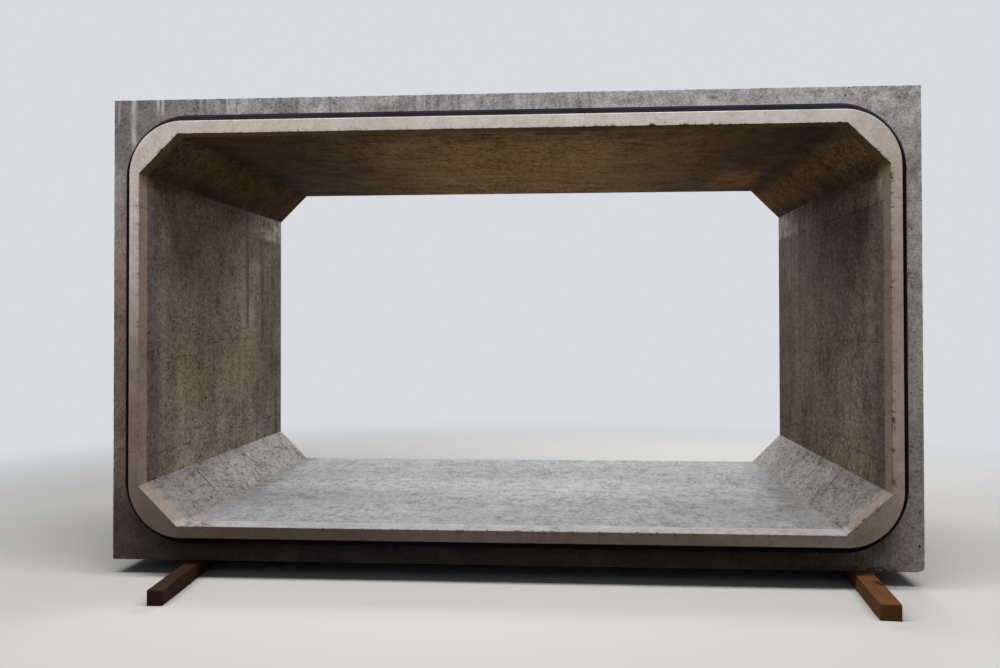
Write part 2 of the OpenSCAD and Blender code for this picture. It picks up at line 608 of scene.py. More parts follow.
@dataclass
class Casting:
    """The concrete casting as one closed grid: rings round the waterway, and the rings
    themselves in a loop from the flared mouth over the outside, the socket and back.

    Attributes:
        sizes: The unit's sizes.
        around: Samples round each ring.
        margin: Distance from an arris at which its wear ends.
        lip_l: Depth of the mouth's lip.
        lip_floor_l: Depth of the lip on the floor.
        foot_shift: How far the foot of the mouth's right haunch lies further in.
        broken_r: How much of the body's lower right corner is broken off.
        broken_l: How far behind the shoulder the break ends.
        anchor_x: Place of the lifting anchors to each side of the middle.
        anchor_y: Their place in front of and behind the body's middle.
        name: Name of the piece.
    """

    sizes: UnitSizes
    around: Around = Around(side_x=650, side_z=315, corner=70)
    margin: float = 0.018
    lip_l: float = 0.072
    lip_floor_l: float = 0.106
    foot_shift: float = 0.022
    broken_r: float = 0.036
    broken_l: float = 0.26
    anchor_x: float = 1.250
    anchor_y: float = 0.600
    name: str = "concrete_casting"

    def stations(self) -> list[Station]:
        """Lists the key rings from the flared mouth's inner end, out and round to the rear.

        Returns:
            The stations in order. The last one leads back to the first.
        """
        s = self.sizes
        seat_front, seat_rear = s.seal_setback, s.seal_setback + s.seal_w
        low, right = s.low_z, s.half_width
        mouth_dents = tuple(
            Dent((x, s.tip_y, z), reach, depth)
            for x, z, reach, depth in (
                (1.886, 1.94, 0.18, 0.0024), (1.886, 1.55, 0.34, 0.0020),
                (1.886, 0.85, 0.70, 0.0018), (1.79, 0.38, 0.26, 0.0010),
                (-1.886, 1.50, 0.90, 0.0012), (0.75, 2.296, 0.80, 0.0012),
                (0.10, 0.27, 1.30, 0.0020),
            )
        )
        outer_dents = (
            Dent((right - 0.12, s.shoulder_y, low), 0.20, 0.006),
            Dent((right - 0.38, s.shoulder_y, low), 0.30, 0.007),
        )
        # The mouth's breaks are painted dark: painted shade in the chips.
        mouth_wear = Wear(
            width=0.0014, rough=0.0024, chip=0.0024, chip_share=0.30, wander=0.0012, cell=0.014,
            dents=mouth_dents, seed=11, light=-1.0,
        )
        # The tip's breaks are painted pale: a worn edge with a painted highlight along its chamfer.
        tip_wear = Wear(width=0.0030, rough=0.0006, chip=0.0012, chip_share=0.05, seed=23)
        outer_wear = Wear(
            width=0.0015, rough=0.0022, chip=0.0048, chip_share=0.18, wander=0.0020,
            dents=outer_dents, seed=37,
        )
        rim_wear = Wear(width=0.0028, rough=0.0012, chip=0.0045, chip_share=0.12, seed=53)
        close_to_front = (0.006, 0.018, 0.036, 0.062, 0.1, 0.5)
        return [
            Station(s.waterway.at(s.tip_y + self.lip_l), Zone.LIP),
            Station(s.cast_mouth, Zone.FACE, mouth_wear),
            Station(s.cast_tip, Zone.FACE, tip_wear),
            Station(s.spigot(seat_front), Zone.FACE),
            Station(s.cast_tip.at(s.tip_y + seat_front), Zone.FACE),
            Station(s.cast_tip.at(s.tip_y + seat_rear), Zone.FACE),
            Station(s.spigot(seat_rear), Zone.FORM),
            Station(s.spigot(s.spigot_l), Zone.FORM, fill=(0.6,)),
            Station(s.body, Zone.FORM, outer_wear, close_to_front),
            Station(s.body.at(s.rear_y), Zone.FORM, outer_wear),
            Station(s.socket(0.0).grown(s.lead_in), Zone.FORM, rim_wear),
            Station(s.socket(s.lead_in_l), Zone.FORM),
            Station(s.socket(s.spigot_l + s.joint_play), Zone.FORM),
            Station(s.waterway.at(s.rear_y - s.spigot_l - s.joint_play), None, rim_wear, (0.5,)),
        ]

    def waterway_zones(self) -> NDArray[np.int64]:
        """Gives the zone of each face of one row of the waterway.

        Returns:
            The zones, from the first sample of a ring on.
        """
        a = self.around
        upper = [Zone.CEILING] * (2 * a.corner + a.side_x)
        lower = [Zone.HAUNCH] * a.corner + [Zone.FLOOR] * a.side_x + [Zone.HAUNCH] * a.corner
        walls = [Zone.WALL] * a.side_z
        return np.array(upper + walls + lower + walls)

    def arris_rows(self, before: Ring, station: Station, after: Ring) -> tuple[Array, Array]:
        """Gives the five rows of one arris and how worn each of their points is.

        Formula: two rows lie in the two surfaces at the blunted edge's width from the
        arris, one lies between them, round on a blunted edge and hollow in a chip, and one
        lies further out in each surface, where the wear ends.

        Args:
            before: The ring before the arris.
            station: The arris.
            after: The ring after the arris.

        Returns:
            The rows' points, and their wear, up to 1 where it is pale, with a painted highlight,
            and -1 where it is dark, with painted shade.
        """
        ring, wear = station.ring, station.wear
        spread = ring.spread(self.around)
        straight = ring.points(self.around)
        width = np.clip(wear.widths(straight), None, 0.9 * self.margin)[:, None]
        hollow = 0.40 + 0.24 * smooth_step(width, 0.003, 0.009)
        stray = wear.strays(straight)[:, None] * spread

        def along(other: Ring) -> Array:
            """Gives the step of one metre from the arris along the surface to a ring."""
            run, rise = other.y - ring.y, other.half_x - ring.half_x
            return (run * FORWARDS + rise * spread) / math.hypot(run, rise)

        back, on = along(before), along(after)
        rows = [
            straight + back * self.margin,
            straight + back * width - stray,
            straight + (back + on) * width * hollow - stray,
            straight + on * width - stray,
            straight + on * self.margin,
        ]
        # The sign chooses pale breaks with a painted highlight or dark breaks with painted shade in
        # the chips.
        worn = wear.light * np.clip((width[:, 0] - 0.0016) / 0.0040, 0.10, 1.0)
        none = np.zeros_like(worn)
        return np.stack(rows), np.stack([none, worn, worn, worn, none])

    def rows(self) -> tuple[Array, Array, NDArray[np.int64]]:
        """Works out every row of the grid.

        Returns:
            The points, their wear, and the zone of the face after each of them.
        """
        stations = self.stations()
        inner = self.waterway_zones()
        blocks: list[tuple[Array, Array]] = []
        for place, station in enumerate(stations):
            before = stations[place - 1].ring
            after = stations[(place + 1) % len(stations)].ring
            if station.wear is None:
                points = station.ring.points(self.around)[None]
                blocks.append((points, np.zeros(points.shape[:-1])))
            else:
                blocks.append(self.arris_rows(before, station, after))
        points, worn, zones = [], [], []
        for place, (station, (rows, wear)) in enumerate(zip(stations, blocks)):
            zone = inner if station.zone is None else np.full(self.around.total, station.zone)
            previous = stations[place - 1].zone
            old = inner if previous is None else np.full(self.around.total, previous)
            count = len(rows) + len(station.fill)
            head = 2 if station.wear is not None else 0
            points.append(rows)
            worn.append(wear)
            zones.extend([old] * head + [zone] * (count - head))
            following = blocks[(place + 1) % len(blocks)][0][0]
            for share in station.fill:
                points.append(((1.0 - share) * rows[-1] + share * following)[None])
                worn.append(np.zeros((1, self.around.total)))
        return np.concatenate(points), np.concatenate(worn), np.stack(zones)

    def break_corner(self, points: Array) -> Array:
        """Rounds off the body's lower right corner, where it has been knocked at the front.

        Formula: a point at a share of the way from the centre of the rounding to the
        square's border moves in until the border lies on the circle. The circle shrinks to
        nothing behind the shoulder.

        Args:
            points: The grid's points.

        Returns:
            The points with the corner rounded.
        """
        s = self.sizes
        behind = points[..., 1] - s.shoulder_y
        ragged = 1.0 + 0.20 * lattice_noise(points, 0.05, 71)
        ragged = ragged + 0.22 * lattice_noise(points, 0.018, 72)
        fade = 1.0 - smooth_step(behind, 0.02, self.broken_l)
        radius = self.broken_r * fade * ragged
        out_x = points[..., 0] - (s.half_width - radius)
        out_z = (s.low_z + radius) - points[..., 2]
        reach = np.maximum(out_x, out_z)
        inside = (out_x > 0) & (out_z > 0) & (radius > 0.002) & (behind > -0.001)
        away = np.maximum(np.hypot(out_x, out_z), 1e-9)
        share = np.clip(reach / np.maximum(radius, 1e-9), 0.0, 1.0)
        border = away / np.maximum(reach, 1e-9)
        keep = np.where(inside, 1.0 - share**2 * (1.0 - 1.0 / border), 1.0)
        moved = points.copy()
        moved[..., 0] -= np.where(inside, out_x * (1.0 - keep), 0.0)
        moved[..., 2] += np.where(inside, out_z * (1.0 - keep), 0.0)
        return moved

    def deepen_lip(self, points: Array) -> Array:
        """Moves the lip's inner line further back on the floor than on the other sides.

        Args:
            points: The grid's points, changed in place.

        Returns:
            The same points.
        """
        s = self.sizes
        low = 1.0 - smooth_step(points[0, :, 2], s.floor_z + 0.01, s.floor_z + s.haunch)
        points[0, :, 1] += (self.lip_floor_l - self.lip_l) * low
        return points

    def shift_foot(self, points: Array) -> Array:
        """Moves the foot of the mouth's right haunch inwards, as it was cast.

        Formula: the five rows of the mouth's arris, which follow the grid's first row, move
        along the floor. The move grows from nothing at the haunch's top to foot_shift at its
        foot, and fades along the floor.

        Args:
            points: The grid's points, changed in place.

        Returns:
            The same points.
        """
        s = self.sizes
        mouth_rows = slice(1, 6)
        arris = points[mouth_rows]
        low = 1.0 - np.clip((arris[..., 2] - s.floor_z) / s.haunch, 0.0, 1.0)
        foot_x = s.span / 2.0 - s.haunch
        arris[..., 0] -= self.foot_shift * low * smooth_step(arris[..., 0], 0.6 * foot_x, foot_x)
        return points

    def recess_cutter(self) -> bpy.types.Object:
        """Makes the four balls that cut the anchors' round recesses into the roof.

        Formula: each ball is a half circle turned about a vertical line, with a small flat
        at each pole.

        Returns:
            One object with the four balls.
        """
        s = self.sizes
        middle = (s.shoulder_y + s.rear_y) / 2.0
        turn = np.linspace(0.0, 2.0 * math.pi, 48, endpoint=False)
        dip = np.linspace(0.03, math.pi - 0.03, 25)[:, None]
        level = np.sin(dip)
        ball = np.stack(
            [level * np.cos(turn), level * np.sin(turn), np.cos(dip) * np.ones_like(turn)], axis=-1
        )
        rows, columns = ball.shape[:2]
        total = rows * columns
        quads = ring_faces(rows, columns, closed=False)
        caps = np.stack([np.arange(columns), np.arange(total - 1, total - columns - 1, -1)])
        points, faces, ends = [], [], []
        for side_x, side_y in ((-1.0, -1.0), (-1.0, 1.0), (1.0, -1.0), (1.0, 1.0)):
            centre = [side_x * self.anchor_x, middle + side_y * self.anchor_y, s.high_z]
            faces.append(quads + total * len(points))
            ends.append(caps + total * len(points))
            points.append(ball.reshape(-1, 3) * s.recess_r + np.array(centre))
        zones = np.full(len(points) * (len(quads) + 2), Zone.FORM)
        blocks = [np.concatenate(faces), np.concatenate(ends)]
        return make_object("recess_cutter", np.concatenate(points), blocks, zones)

    def build(self, finishes: Mapping[Zone, bpy.types.Material]) -> bpy.types.Object:
        """Makes the casting's mesh, cuts the recesses and gives it its finishes.

        Args:
            finishes: The material of each zone.

        Returns:
            The casting.
        """
        points, worn, zones = self.rows()
        points = self.shift_foot(self.deepen_lip(self.break_corner(points)))
        faces = ring_faces(len(points), self.around.total, closed=True)
        made = make_object(self.name, points, [faces], zones, {"wear": worn})
        cutter = self.recess_cutter()
        for piece in (made, cutter):
            for zone in Zone:
                piece.data.materials.append(finishes[zone])
        cut = made.modifiers.new("recesses", "BOOLEAN")
        cut.object, cut.operation, cut.solver = cutter, "DIFFERENCE", "EXACT"
        graph = bpy.context.evaluated_depsgraph_get()
        mesh = bpy.data.meshes.new_from_object(made.evaluated_get(graph))
        made.modifiers.clear()
        made.data = mesh
        bpy.data.objects.remove(cutter)
        shade(made, sharp_degrees=28.0)
        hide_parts("box_unit")
        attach(made, "root")
        LOG.info("%s: %d faces in %d rings", made.name, len(mesh.polygons), len(points))
        return made


@dataclass
class JointSeal:
    """The rubber ring stretched round the spigot.

    Attributes:
        sizes: The unit's sizes.
        around: Samples round the ring.
        waist: How far the flanks pull in half way up.
        rib: Height of the fine ribs on the flanks.
        fuller: How much higher the crown is along the top.
        pinch: How far the crown is pulled in at the two top corners.
        flank_rows: Rows on each flank.
        crown_rows: Rows on the half circle, its two ends included.
        name: Name of the piece.
    """

    sizes: UnitSizes
    around: Around = Around(side_x=120, side_z=60, corner=40)
    waist: float = 0.0016
    rib: float = 0.0011
    fuller: float = 0.006
    pinch: float = 0.0035
    flank_rows: int = 15
    crown_rows: int = 17
    name: str = "rubber_joint_ring"

    def section(self) -> tuple[Array, Array]:
        """Works out the ring's section.

        Formula: a flat root on the seat, two flanks that pull in by a shallow sine with
        fine ribs on it, and a half circle for the crown.

        Returns:
            The section's heights over the seat and its places along the spigot.
        """
        radius = self.sizes.seal_w / 2.0
        straight = self.sizes.seal_h - radius
        share = np.linspace(0.0, 1.0, self.flank_rows)
        ribs = 0.5 - 0.5 * np.cos(6.0 * math.pi * share)
        waist = self.waist * np.sin(math.pi * share) + self.rib * ribs
        angle = np.linspace(-math.pi / 2.0, math.pi / 2.0, self.crown_rows)[1:-1]
        crown = straight + radius * np.cos(angle)
        heights = np.concatenate([straight * share, crown, straight * share[::-1]])
        places = np.concatenate([waist - radius, radius * np.sin(angle), (radius - waist)[::-1]])
        return heights, places + radius

    def build(self, rubber: bpy.types.Material) -> bpy.types.Object:
        """Sweeps the section round the spigot.

        Formula: each row lies at its share of the way from the seat to the crown's line.
        The crown is higher along the top, and it is pulled in round the two top corners
        by a share that is the product of the normal's squares.

        Args:
            rubber: The ring's material.

        Returns:
            The ring.
        """
        s = self.sizes
        front = s.tip_y + s.seal_setback
        root = s.cast_tip.at(front).points(self.around)
        crown = s.tip.at(front).grown(s.seal_h).cast(0.0, 0.0, self.fuller, 0.0)
        normal = s.tip.spread(self.around)
        pulled = 4.0 * self.pinch * normal[:, 0] ** 2 * np.clip(normal[:, 2], 0.0, None) ** 2
        crown = crown.points(self.around) - normal * pulled[:, None]
        heights, places = self.section()
        share = heights[:, None, None] / s.seal_h
        rows = root + share * (crown - root) + places[:, None, None] * FORWARDS
        rows, share = rows[::-1], np.broadcast_to(share, rows.shape)[::-1, :, 0]
        faces = ring_faces(len(rows), self.around.total, closed=True)
        made = make_object(self.name, rows, [faces], None, {"crown": share})
        made.data.materials.append(rubber)
        shade(made, sharp_degrees=50.0)
        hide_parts("joint_seal")
        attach(made, "root")
        LOG.info("%s: %d faces", made.name, len(faces))
        return made


@dataclass(frozen=True)
class Bearer:
    """One sawn timber under the unit.

    Attributes:
        node: The CAD node that it stands for.
        side: -1 on the left and 1 on the right.
        end: -1 at the spigot end and 1 at the socket end.
        width: Its width.
        inset: Distance from the unit's side to the timber's middle, at the unit's end.
        toe: Angle by which it turns inwards, in degrees.
        seed: Chooses its grain and wear.
        height: Its height.
        length: Its length.
        reach: How far it stands out in front of the unit's end.
        ease: Length of its blunted ends.
        corner_r: Usual radius of its arrises.
        corner_swing: How much that radius changes along it.
        shrinkage: The most that its faces draw in, as a share.
        rings: Rings along it between its blunted ends.
        around: Samples round each ring.
    """

    node: str
    side: int
    end: int
    width: float
    inset: float
    toe: float
    seed: int
    height: float = 0.075
    length: float = 1.150
    reach: float = 0.400
    ease: float = 0.003
    corner_r: float = 0.0035
    corner_swing: float = 0.0016
    shrinkage: float = 0.010
    rings: int = 116
    around: Around = Around(side_x=14, side_z=14, corner=5)

    def build(self, sizes: UnitSizes, timber: bpy.types.Material) -> bpy.types.Object:
        """Makes the timber as rings along its length, with blunted ends and arrises.

        Formula: each ring is an oblong with round corners. The corners' radius changes with
        a sine along the timber, its faces draw in with smooth noise but stay flat below, and
        the end rings shrink in three steps.

        Args:
            sizes: The unit's sizes.
            timber: The timber's material.

        Returns:
            The timber.
        """
        body = np.linspace(self.ease, self.length - self.ease, self.rings)
        steps = np.array([0.0, 0.0, 0.35 * self.ease])
        places = np.concatenate([steps, body, self.length - steps[::-1]])
        shrink = np.zeros_like(places)
        shrink[:3] = [2.6 * self.ease, 0.8 * self.ease, 0.25 * self.ease]
        shrink[-3:] = shrink[2::-1]
        rows = []
        for place, inset in zip(places, shrink):
            corner = self.corner_r + self.corner_swing * math.sin(17.0 * place + self.seed)
            half_x, half_z = self.width / 2.0 - inset, self.height / 2.0 - inset
            ring = Ring(Corner.ROUND, half_x, half_z, corner, place, self.height / 2.0)
            rows.append(ring.points(self.around))
        local = np.stack(rows)
        noise = lattice_noise(local * np.array([1.0, 0.25, 1.0]), 0.06, self.seed)
        shrinking = 1.0 - self.shrinkage * (0.5 + 0.5 * noise)
        bottom = local[..., 2] < 0.004
        local[..., 0] *= shrinking
        local[..., 2] = np.where(bottom, local[..., 2], local[..., 2] * shrinking)
        count = self.around.total
        quads = ring_faces(len(local), count, closed=False)
        last = np.arange(len(local) * count - count, len(local) * count)
        caps = np.stack([np.arange(count), last[::-1]])
        flip = math.radians(self.end * self.side * self.toe)
        start = self.reach - self.length if self.end > 0 else -self.reach
        placed = local.copy()
        placed[..., 1] += start
        cosine, sine = math.cos(flip), math.sin(flip)
        turn = np.array([[cosine, -sine, 0.0], [sine, cosine, 0.0], [0.0, 0.0, 1.0]])
        end_y = sizes.tip_y if self.end < 0 else sizes.rear_y
        place = np.array([self.side * (sizes.half_width - self.inset), end_y, 0.0])
        placed = placed @ turn.T + place
        grain = local + np.array([0.37, 1.7, 0.23]) * self.seed
        name = self.node.replace("bearer", "timber")
        made = make_object(name, placed, [quads, caps], None, {"grain": grain})
        made.data.materials.append(timber)
        shade(made, sharp_degrees=40.0)
        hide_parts(self.node)
        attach(made, "root")
        LOG.info("%s: %d faces", made.name, len(quads))
        return made


# Materials


class Graph:
    """A material's nodes, with short calls for those that the finishes share."""

    def __init__(self, name: str) -> None:
        """Makes an empty material.

        Args:
            name: Name of the material.
        """
        self.material = bpy.data.materials.new(name)
        self.material.use_nodes = True
        self.tree = self.material.node_tree
        self.tree.nodes.clear()
        self.place = self.add("ShaderNodeTexCoord").outputs["Object"]

    def add(
        self, kind: str, feeds: Mapping[str | int, Any] | None = None, **settings: Any
    ) -> bpy.types.Node:
        """Adds a node.

        Args:
            kind: Blender's name of the node.
            feeds: What goes into its inputs: a value, or another node's output.
            settings: The node's own settings.

        Returns:
            The node.
        """
        node = self.tree.nodes.new(kind)
        for label, value in settings.items():
            setattr(node, label, value)
        for label, value in (feeds or {}).items():
            socket = node.inputs[label]
            if isinstance(value, Socket):
                self.tree.links.new(value, socket)
            elif socket.type == "RGBA":
                socket.default_value = (*value, 1.0)
            else:
                socket.default_value = value
        return node

    def math(self, operation: str, a: Value, b: Value = 0.0, clamp: bool = False) -> Socket:
        """Joins two numbers by one operation.

        Args:
            operation: Blender's name of the operation.
            a: The first number.
            b: The second.
            clamp: Whether the result stays between 0 and 1.

        Returns:
            The result.
        """
        feeds = {0: a, 1: b}
        node = self.add("ShaderNodeMath", feeds, operation=operation, use_clamp=clamp)
        return node.outputs[0]

    def ramp(
        self, value: Value, low: float, high: float, start: float = 0.0, end: float = 1.0
    ) -> Socket:
        """Turns a number into a smooth step from start at low to end at high.

        Args:
            value: The number.
            low: Where the step starts.
            high: Where it ends.
            start: The result at low.
            end: The result at high.

        Returns:
            The result.
        """
        feeds = {"Value": value, "From Min": low, "From Max": high, "To Min": start, "To Max": end}
        node = self.add("ShaderNodeMapRange", feeds, interpolation_type="SMOOTHSTEP")
        return node.outputs["Result"]

    def times(self, a: Value, b: Value) -> Socket:
        """Multiplies two numbers."""
        return self.math("MULTIPLY", a, b)

    def swing(self, noise: Socket, reach: float) -> Socket:
        """Gives how far noise is from its middle, times a reach."""
        return self.times(self.math("SUBTRACT", noise, 0.5), reach)

    def split(self, place: Socket) -> bpy.types.Node:
        """Splits a place into its parts along the axes."""
        return self.add("ShaderNodeSeparateXYZ", {0: place})

    def attribute(self, name: str) -> bpy.types.Node:
        """Reads an attribute of the mesh."""
        return self.add("ShaderNodeAttribute", attribute_name=name)

    def stretched(self, scale: Place, source: Socket | None = None) -> Socket:
        """Gives the place on the piece, scaled along each axis."""
        feeds = {"Vector": source or self.place, "Scale": scale}
        return self.add("ShaderNodeMapping", feeds, vector_type="POINT").outputs["Vector"]

    def noise(
        self,
        size: float,
        detail: float = 4.0,
        roughness: float = 0.55,
        source: Socket | None = None,
    ) -> Socket:
        """Gives cloudy noise with features of a size in the source's own unit.

        Args:
            size: Size of the features.
            detail: How many finer layers it has.
            roughness: How strong each finer layer is beside the last.
            source: The place, or None for the piece's own.

        Returns:
            The noise, from 0 to 1.
        """
        feeds: dict[str | int, Any] = {"Vector": source or self.place, "Scale": 1.0 / size}
        feeds |= {"Detail": detail, "Roughness": roughness}
        return self.add("ShaderNodeTexNoise", feeds).outputs[0]

    def spots(self, size: float, share: float, source: Socket | None = None) -> Socket:
        """Gives round spots, at most one in each cell of a size, of many radii.

        Args:
            size: Width of a cell.
            share: The largest spot's radius as a share of the cell.
            source: The place, or None for the piece's own.

        Returns:
            1 inside a spot and 0 outside.
        """
        feeds = {"Vector": source or self.place, "Scale": 1.0 / size}
        node = self.add("ShaderNodeTexVoronoi", feeds)
        split = self.add("ShaderNodeSeparateColor", {0: node.outputs["Color"]})
        radius = self.times(self.math("POWER", split.outputs[0], 2.0), share)
        over = self.math("SUBTRACT", radius, node.outputs["Distance"])
        return self.ramp(over, 0.0, share * 0.3)

    def away(self, start: Place, end: Place) -> Socket:
        """Gives the distance from the straight line between two points.

        Args:
            start: Where the line starts.
            end: Where it ends. The two may be one point.

        Returns:
            The distance in metres.
        """
        kind = "ShaderNodeVectorMath"
        offset = self.add(kind, {0: self.place, 1: start}, operation="SUBTRACT").outputs[0]
        span = np.array(end) - np.array(start)
        over = tuple(span / max(float(span @ span), 1e-9))
        share = self.add(kind, {0: offset, 1: over}, operation="DOT_PRODUCT").outputs["Value"]
        share = self.math("MULTIPLY", share, 1.0, clamp=True)
        point = self.add(kind, {0: tuple(span), "Scale": share}, operation="SCALE").outputs[0]
        return self.add(kind, {0: offset, 1: point}, operation="DISTANCE").outputs["Value"]

    def mix(self, factor: Value, a: Any, b: Any, blend: str = "MIX") -> Socket:
        """Mixes two colours.

        Args:
            factor: Share of the second colour.
            a: The first colour.
            b: The second.
            blend: Blender's name of the way they mix.

        Returns:
            The mixed colour.
        """
        feeds = {0: factor, 6: a, 7: b}
        node = self.add("ShaderNodeMix", feeds, data_type="RGBA", blend_type=blend)
        return node.outputs[2]

    def bump(self, height: Value, depth: float, normal: Socket | None = None) -> Socket:
        """Turns a height from 0 to 1 into a dented normal.

        Args:
            height: The height.
            depth: What 1 is in metres.
            normal: The normal to dent, or None for the surface's own.

        Returns:
            The normal.
        """
        feeds: dict[str | int, Any] = {"Height": height, "Distance": depth, "Strength": 1.0}
        if normal is not None:
            feeds["Normal"] = normal
        return self.add("ShaderNodeBump", feeds).outputs["Normal"]

    def finish(self, colour: Any, roughness: Value, normal: Socket, **more: Any) -> None:
        """Ends the graph in one principled shader.

        Args:
            colour: Base colour.
            roughness: Roughness.
            normal: The dented normal.
            more: Other inputs of the shader, with spaces written as underscores.
        """
        feeds = {"Base Color": colour, "Roughness": roughness, "Normal": normal}
        feeds.update({label.replace("_", " "): value for label, value in more.items()})
        shader = self.add("ShaderNodeBsdfPrincipled", feeds)
        self.add("ShaderNodeOutputMaterial", {"Surface": shader.outputs[0]})


Span = tuple[Axis, float, float]


@dataclass(frozen=True)
class JointLine:
    """A line that a joint between two mould panels left on the concrete.

    Attributes:
        axis: The axis that it crosses.
        place: Where it crosses that axis.
        width: Half of its width.
        depth: How dark it is.
        within: The part of its zone that it keeps to, as the spans of a tint.
    """

    axis: Axis
    place: float
    width: float = 0.0026
    depth: float = 0.45
    within: tuple[Span, ...] = ()


@dataclass(frozen=True)
class Tint:
    """A part of a zone in another colour, with a ragged edge.

    Attributes:
        colour: The colour.
        strength: How much of it shows where it is full.
        spans: Axis, place where the part starts and place where it is full. All count.
        ragged: How far the places stray, in metres.
        size: Size of the edge's lobes.
        runs: Width of upright marks that break it up, or 0 for none.
        share: Share of it that the marks cover.
        patchy: Size of clouds that break it up, or 0 for none.
    """

    colour: Colour
    strength: float
    spans: tuple[Span, ...]
    ragged: float = 0.06
    size: float = 0.25
    runs: float = 0.0
    share: float = 0.5
    patchy: float = 0.0

    def mix_in(self, g: Graph, split: bpy.types.Node, colour: Any) -> Socket:
        """Mixes the tint into a colour.

        Args:
            g: The material's graph.
            split: The node that gives the place along each axis.
            colour: The colour so far.

        Returns:
            The new colour.
        """
        factor: Value = self.strength
        stray = g.swing(g.noise(self.size, 5.0, 0.6), 4.0 * self.ragged)
        for axis, start, full in self.spans:
            place = g.math("ADD", split.outputs[axis], stray)
            factor = g.times(factor, g.ramp(place, start, full))
        if self.runs:
            marks = g.noise(self.runs, 2.0, 0.5, g.stretched((1.0, 1.0, 0.02)))
            level = 0.68 - 0.36 * self.share
            factor = g.times(factor, g.ramp(marks, level - 0.05, level + 0.10))
        if self.patchy:
            clouds = g.noise(self.patchy, 6.0, 0.62)
            factor = g.times(factor, g.ramp(clouds, 0.42, 0.60))
        return g.mix(factor, colour, self.colour)


@dataclass(frozen=True)
class Mark:
    """A small mark at a place of its own: a hole, a ring, a scuff or a spot of rust.

    Attributes:
        start: Where it starts.
        colour: The colour.
        width: Half of its width.
        end: Where it ends, or None for a round mark.
        strength: How much of it shows.
        rim: Whether only its rim shows.
    """

    start: Place
    colour: Colour
    width: float
    end: Place | None = None
    strength: float = 0.9
    rim: bool = False

    def mix_in(self, g: Graph, colour: Any) -> Socket:
        """Mixes the mark into a colour.

        Args:
            g: The material's graph.
            colour: The colour so far.

        Returns:
            The new colour.
        """
        away = g.away(self.start, self.end or self.start)
        away = g.math("ADD", away, g.swing(g.noise(2.0 * self.width), self.width))
        if self.rim:
            away = g.math("ABSOLUTE", g.math("SUBTRACT", away, 0.75 * self.width))
            factor = g.ramp(away, 0.40 * self.width, 0.10 * self.width, 0.0, self.strength)
        else:
            factor = g.ramp(away, self.width, 0.55 * self.width, 0.0, self.strength)
        return g.mix(factor, colour, self.colour)


@dataclass(frozen=True)
class Drip:
    """A pale run of lime water down the shoulder, from its upper edge.

    Attributes:
        x: Where it runs.
        low_z: Height where it ends.
        width: Half of its width.
        strength: How pale it is.
    """

    x: float
    low_z: float
    width: float = 0.010
    strength: float = 0.7


# Sizes of the concrete's noise and depths of its relief, in metres
CLOUD_SIZE, MOTTLE_SIZE, GRIT_SIZE, BREAK_SIZE = 0.62, 0.13, 0.034, 0.011
PIT_DEPTH, SEAM_DEPTH, BREAK_DEPTH = 0.004, 0.002, 0.0012


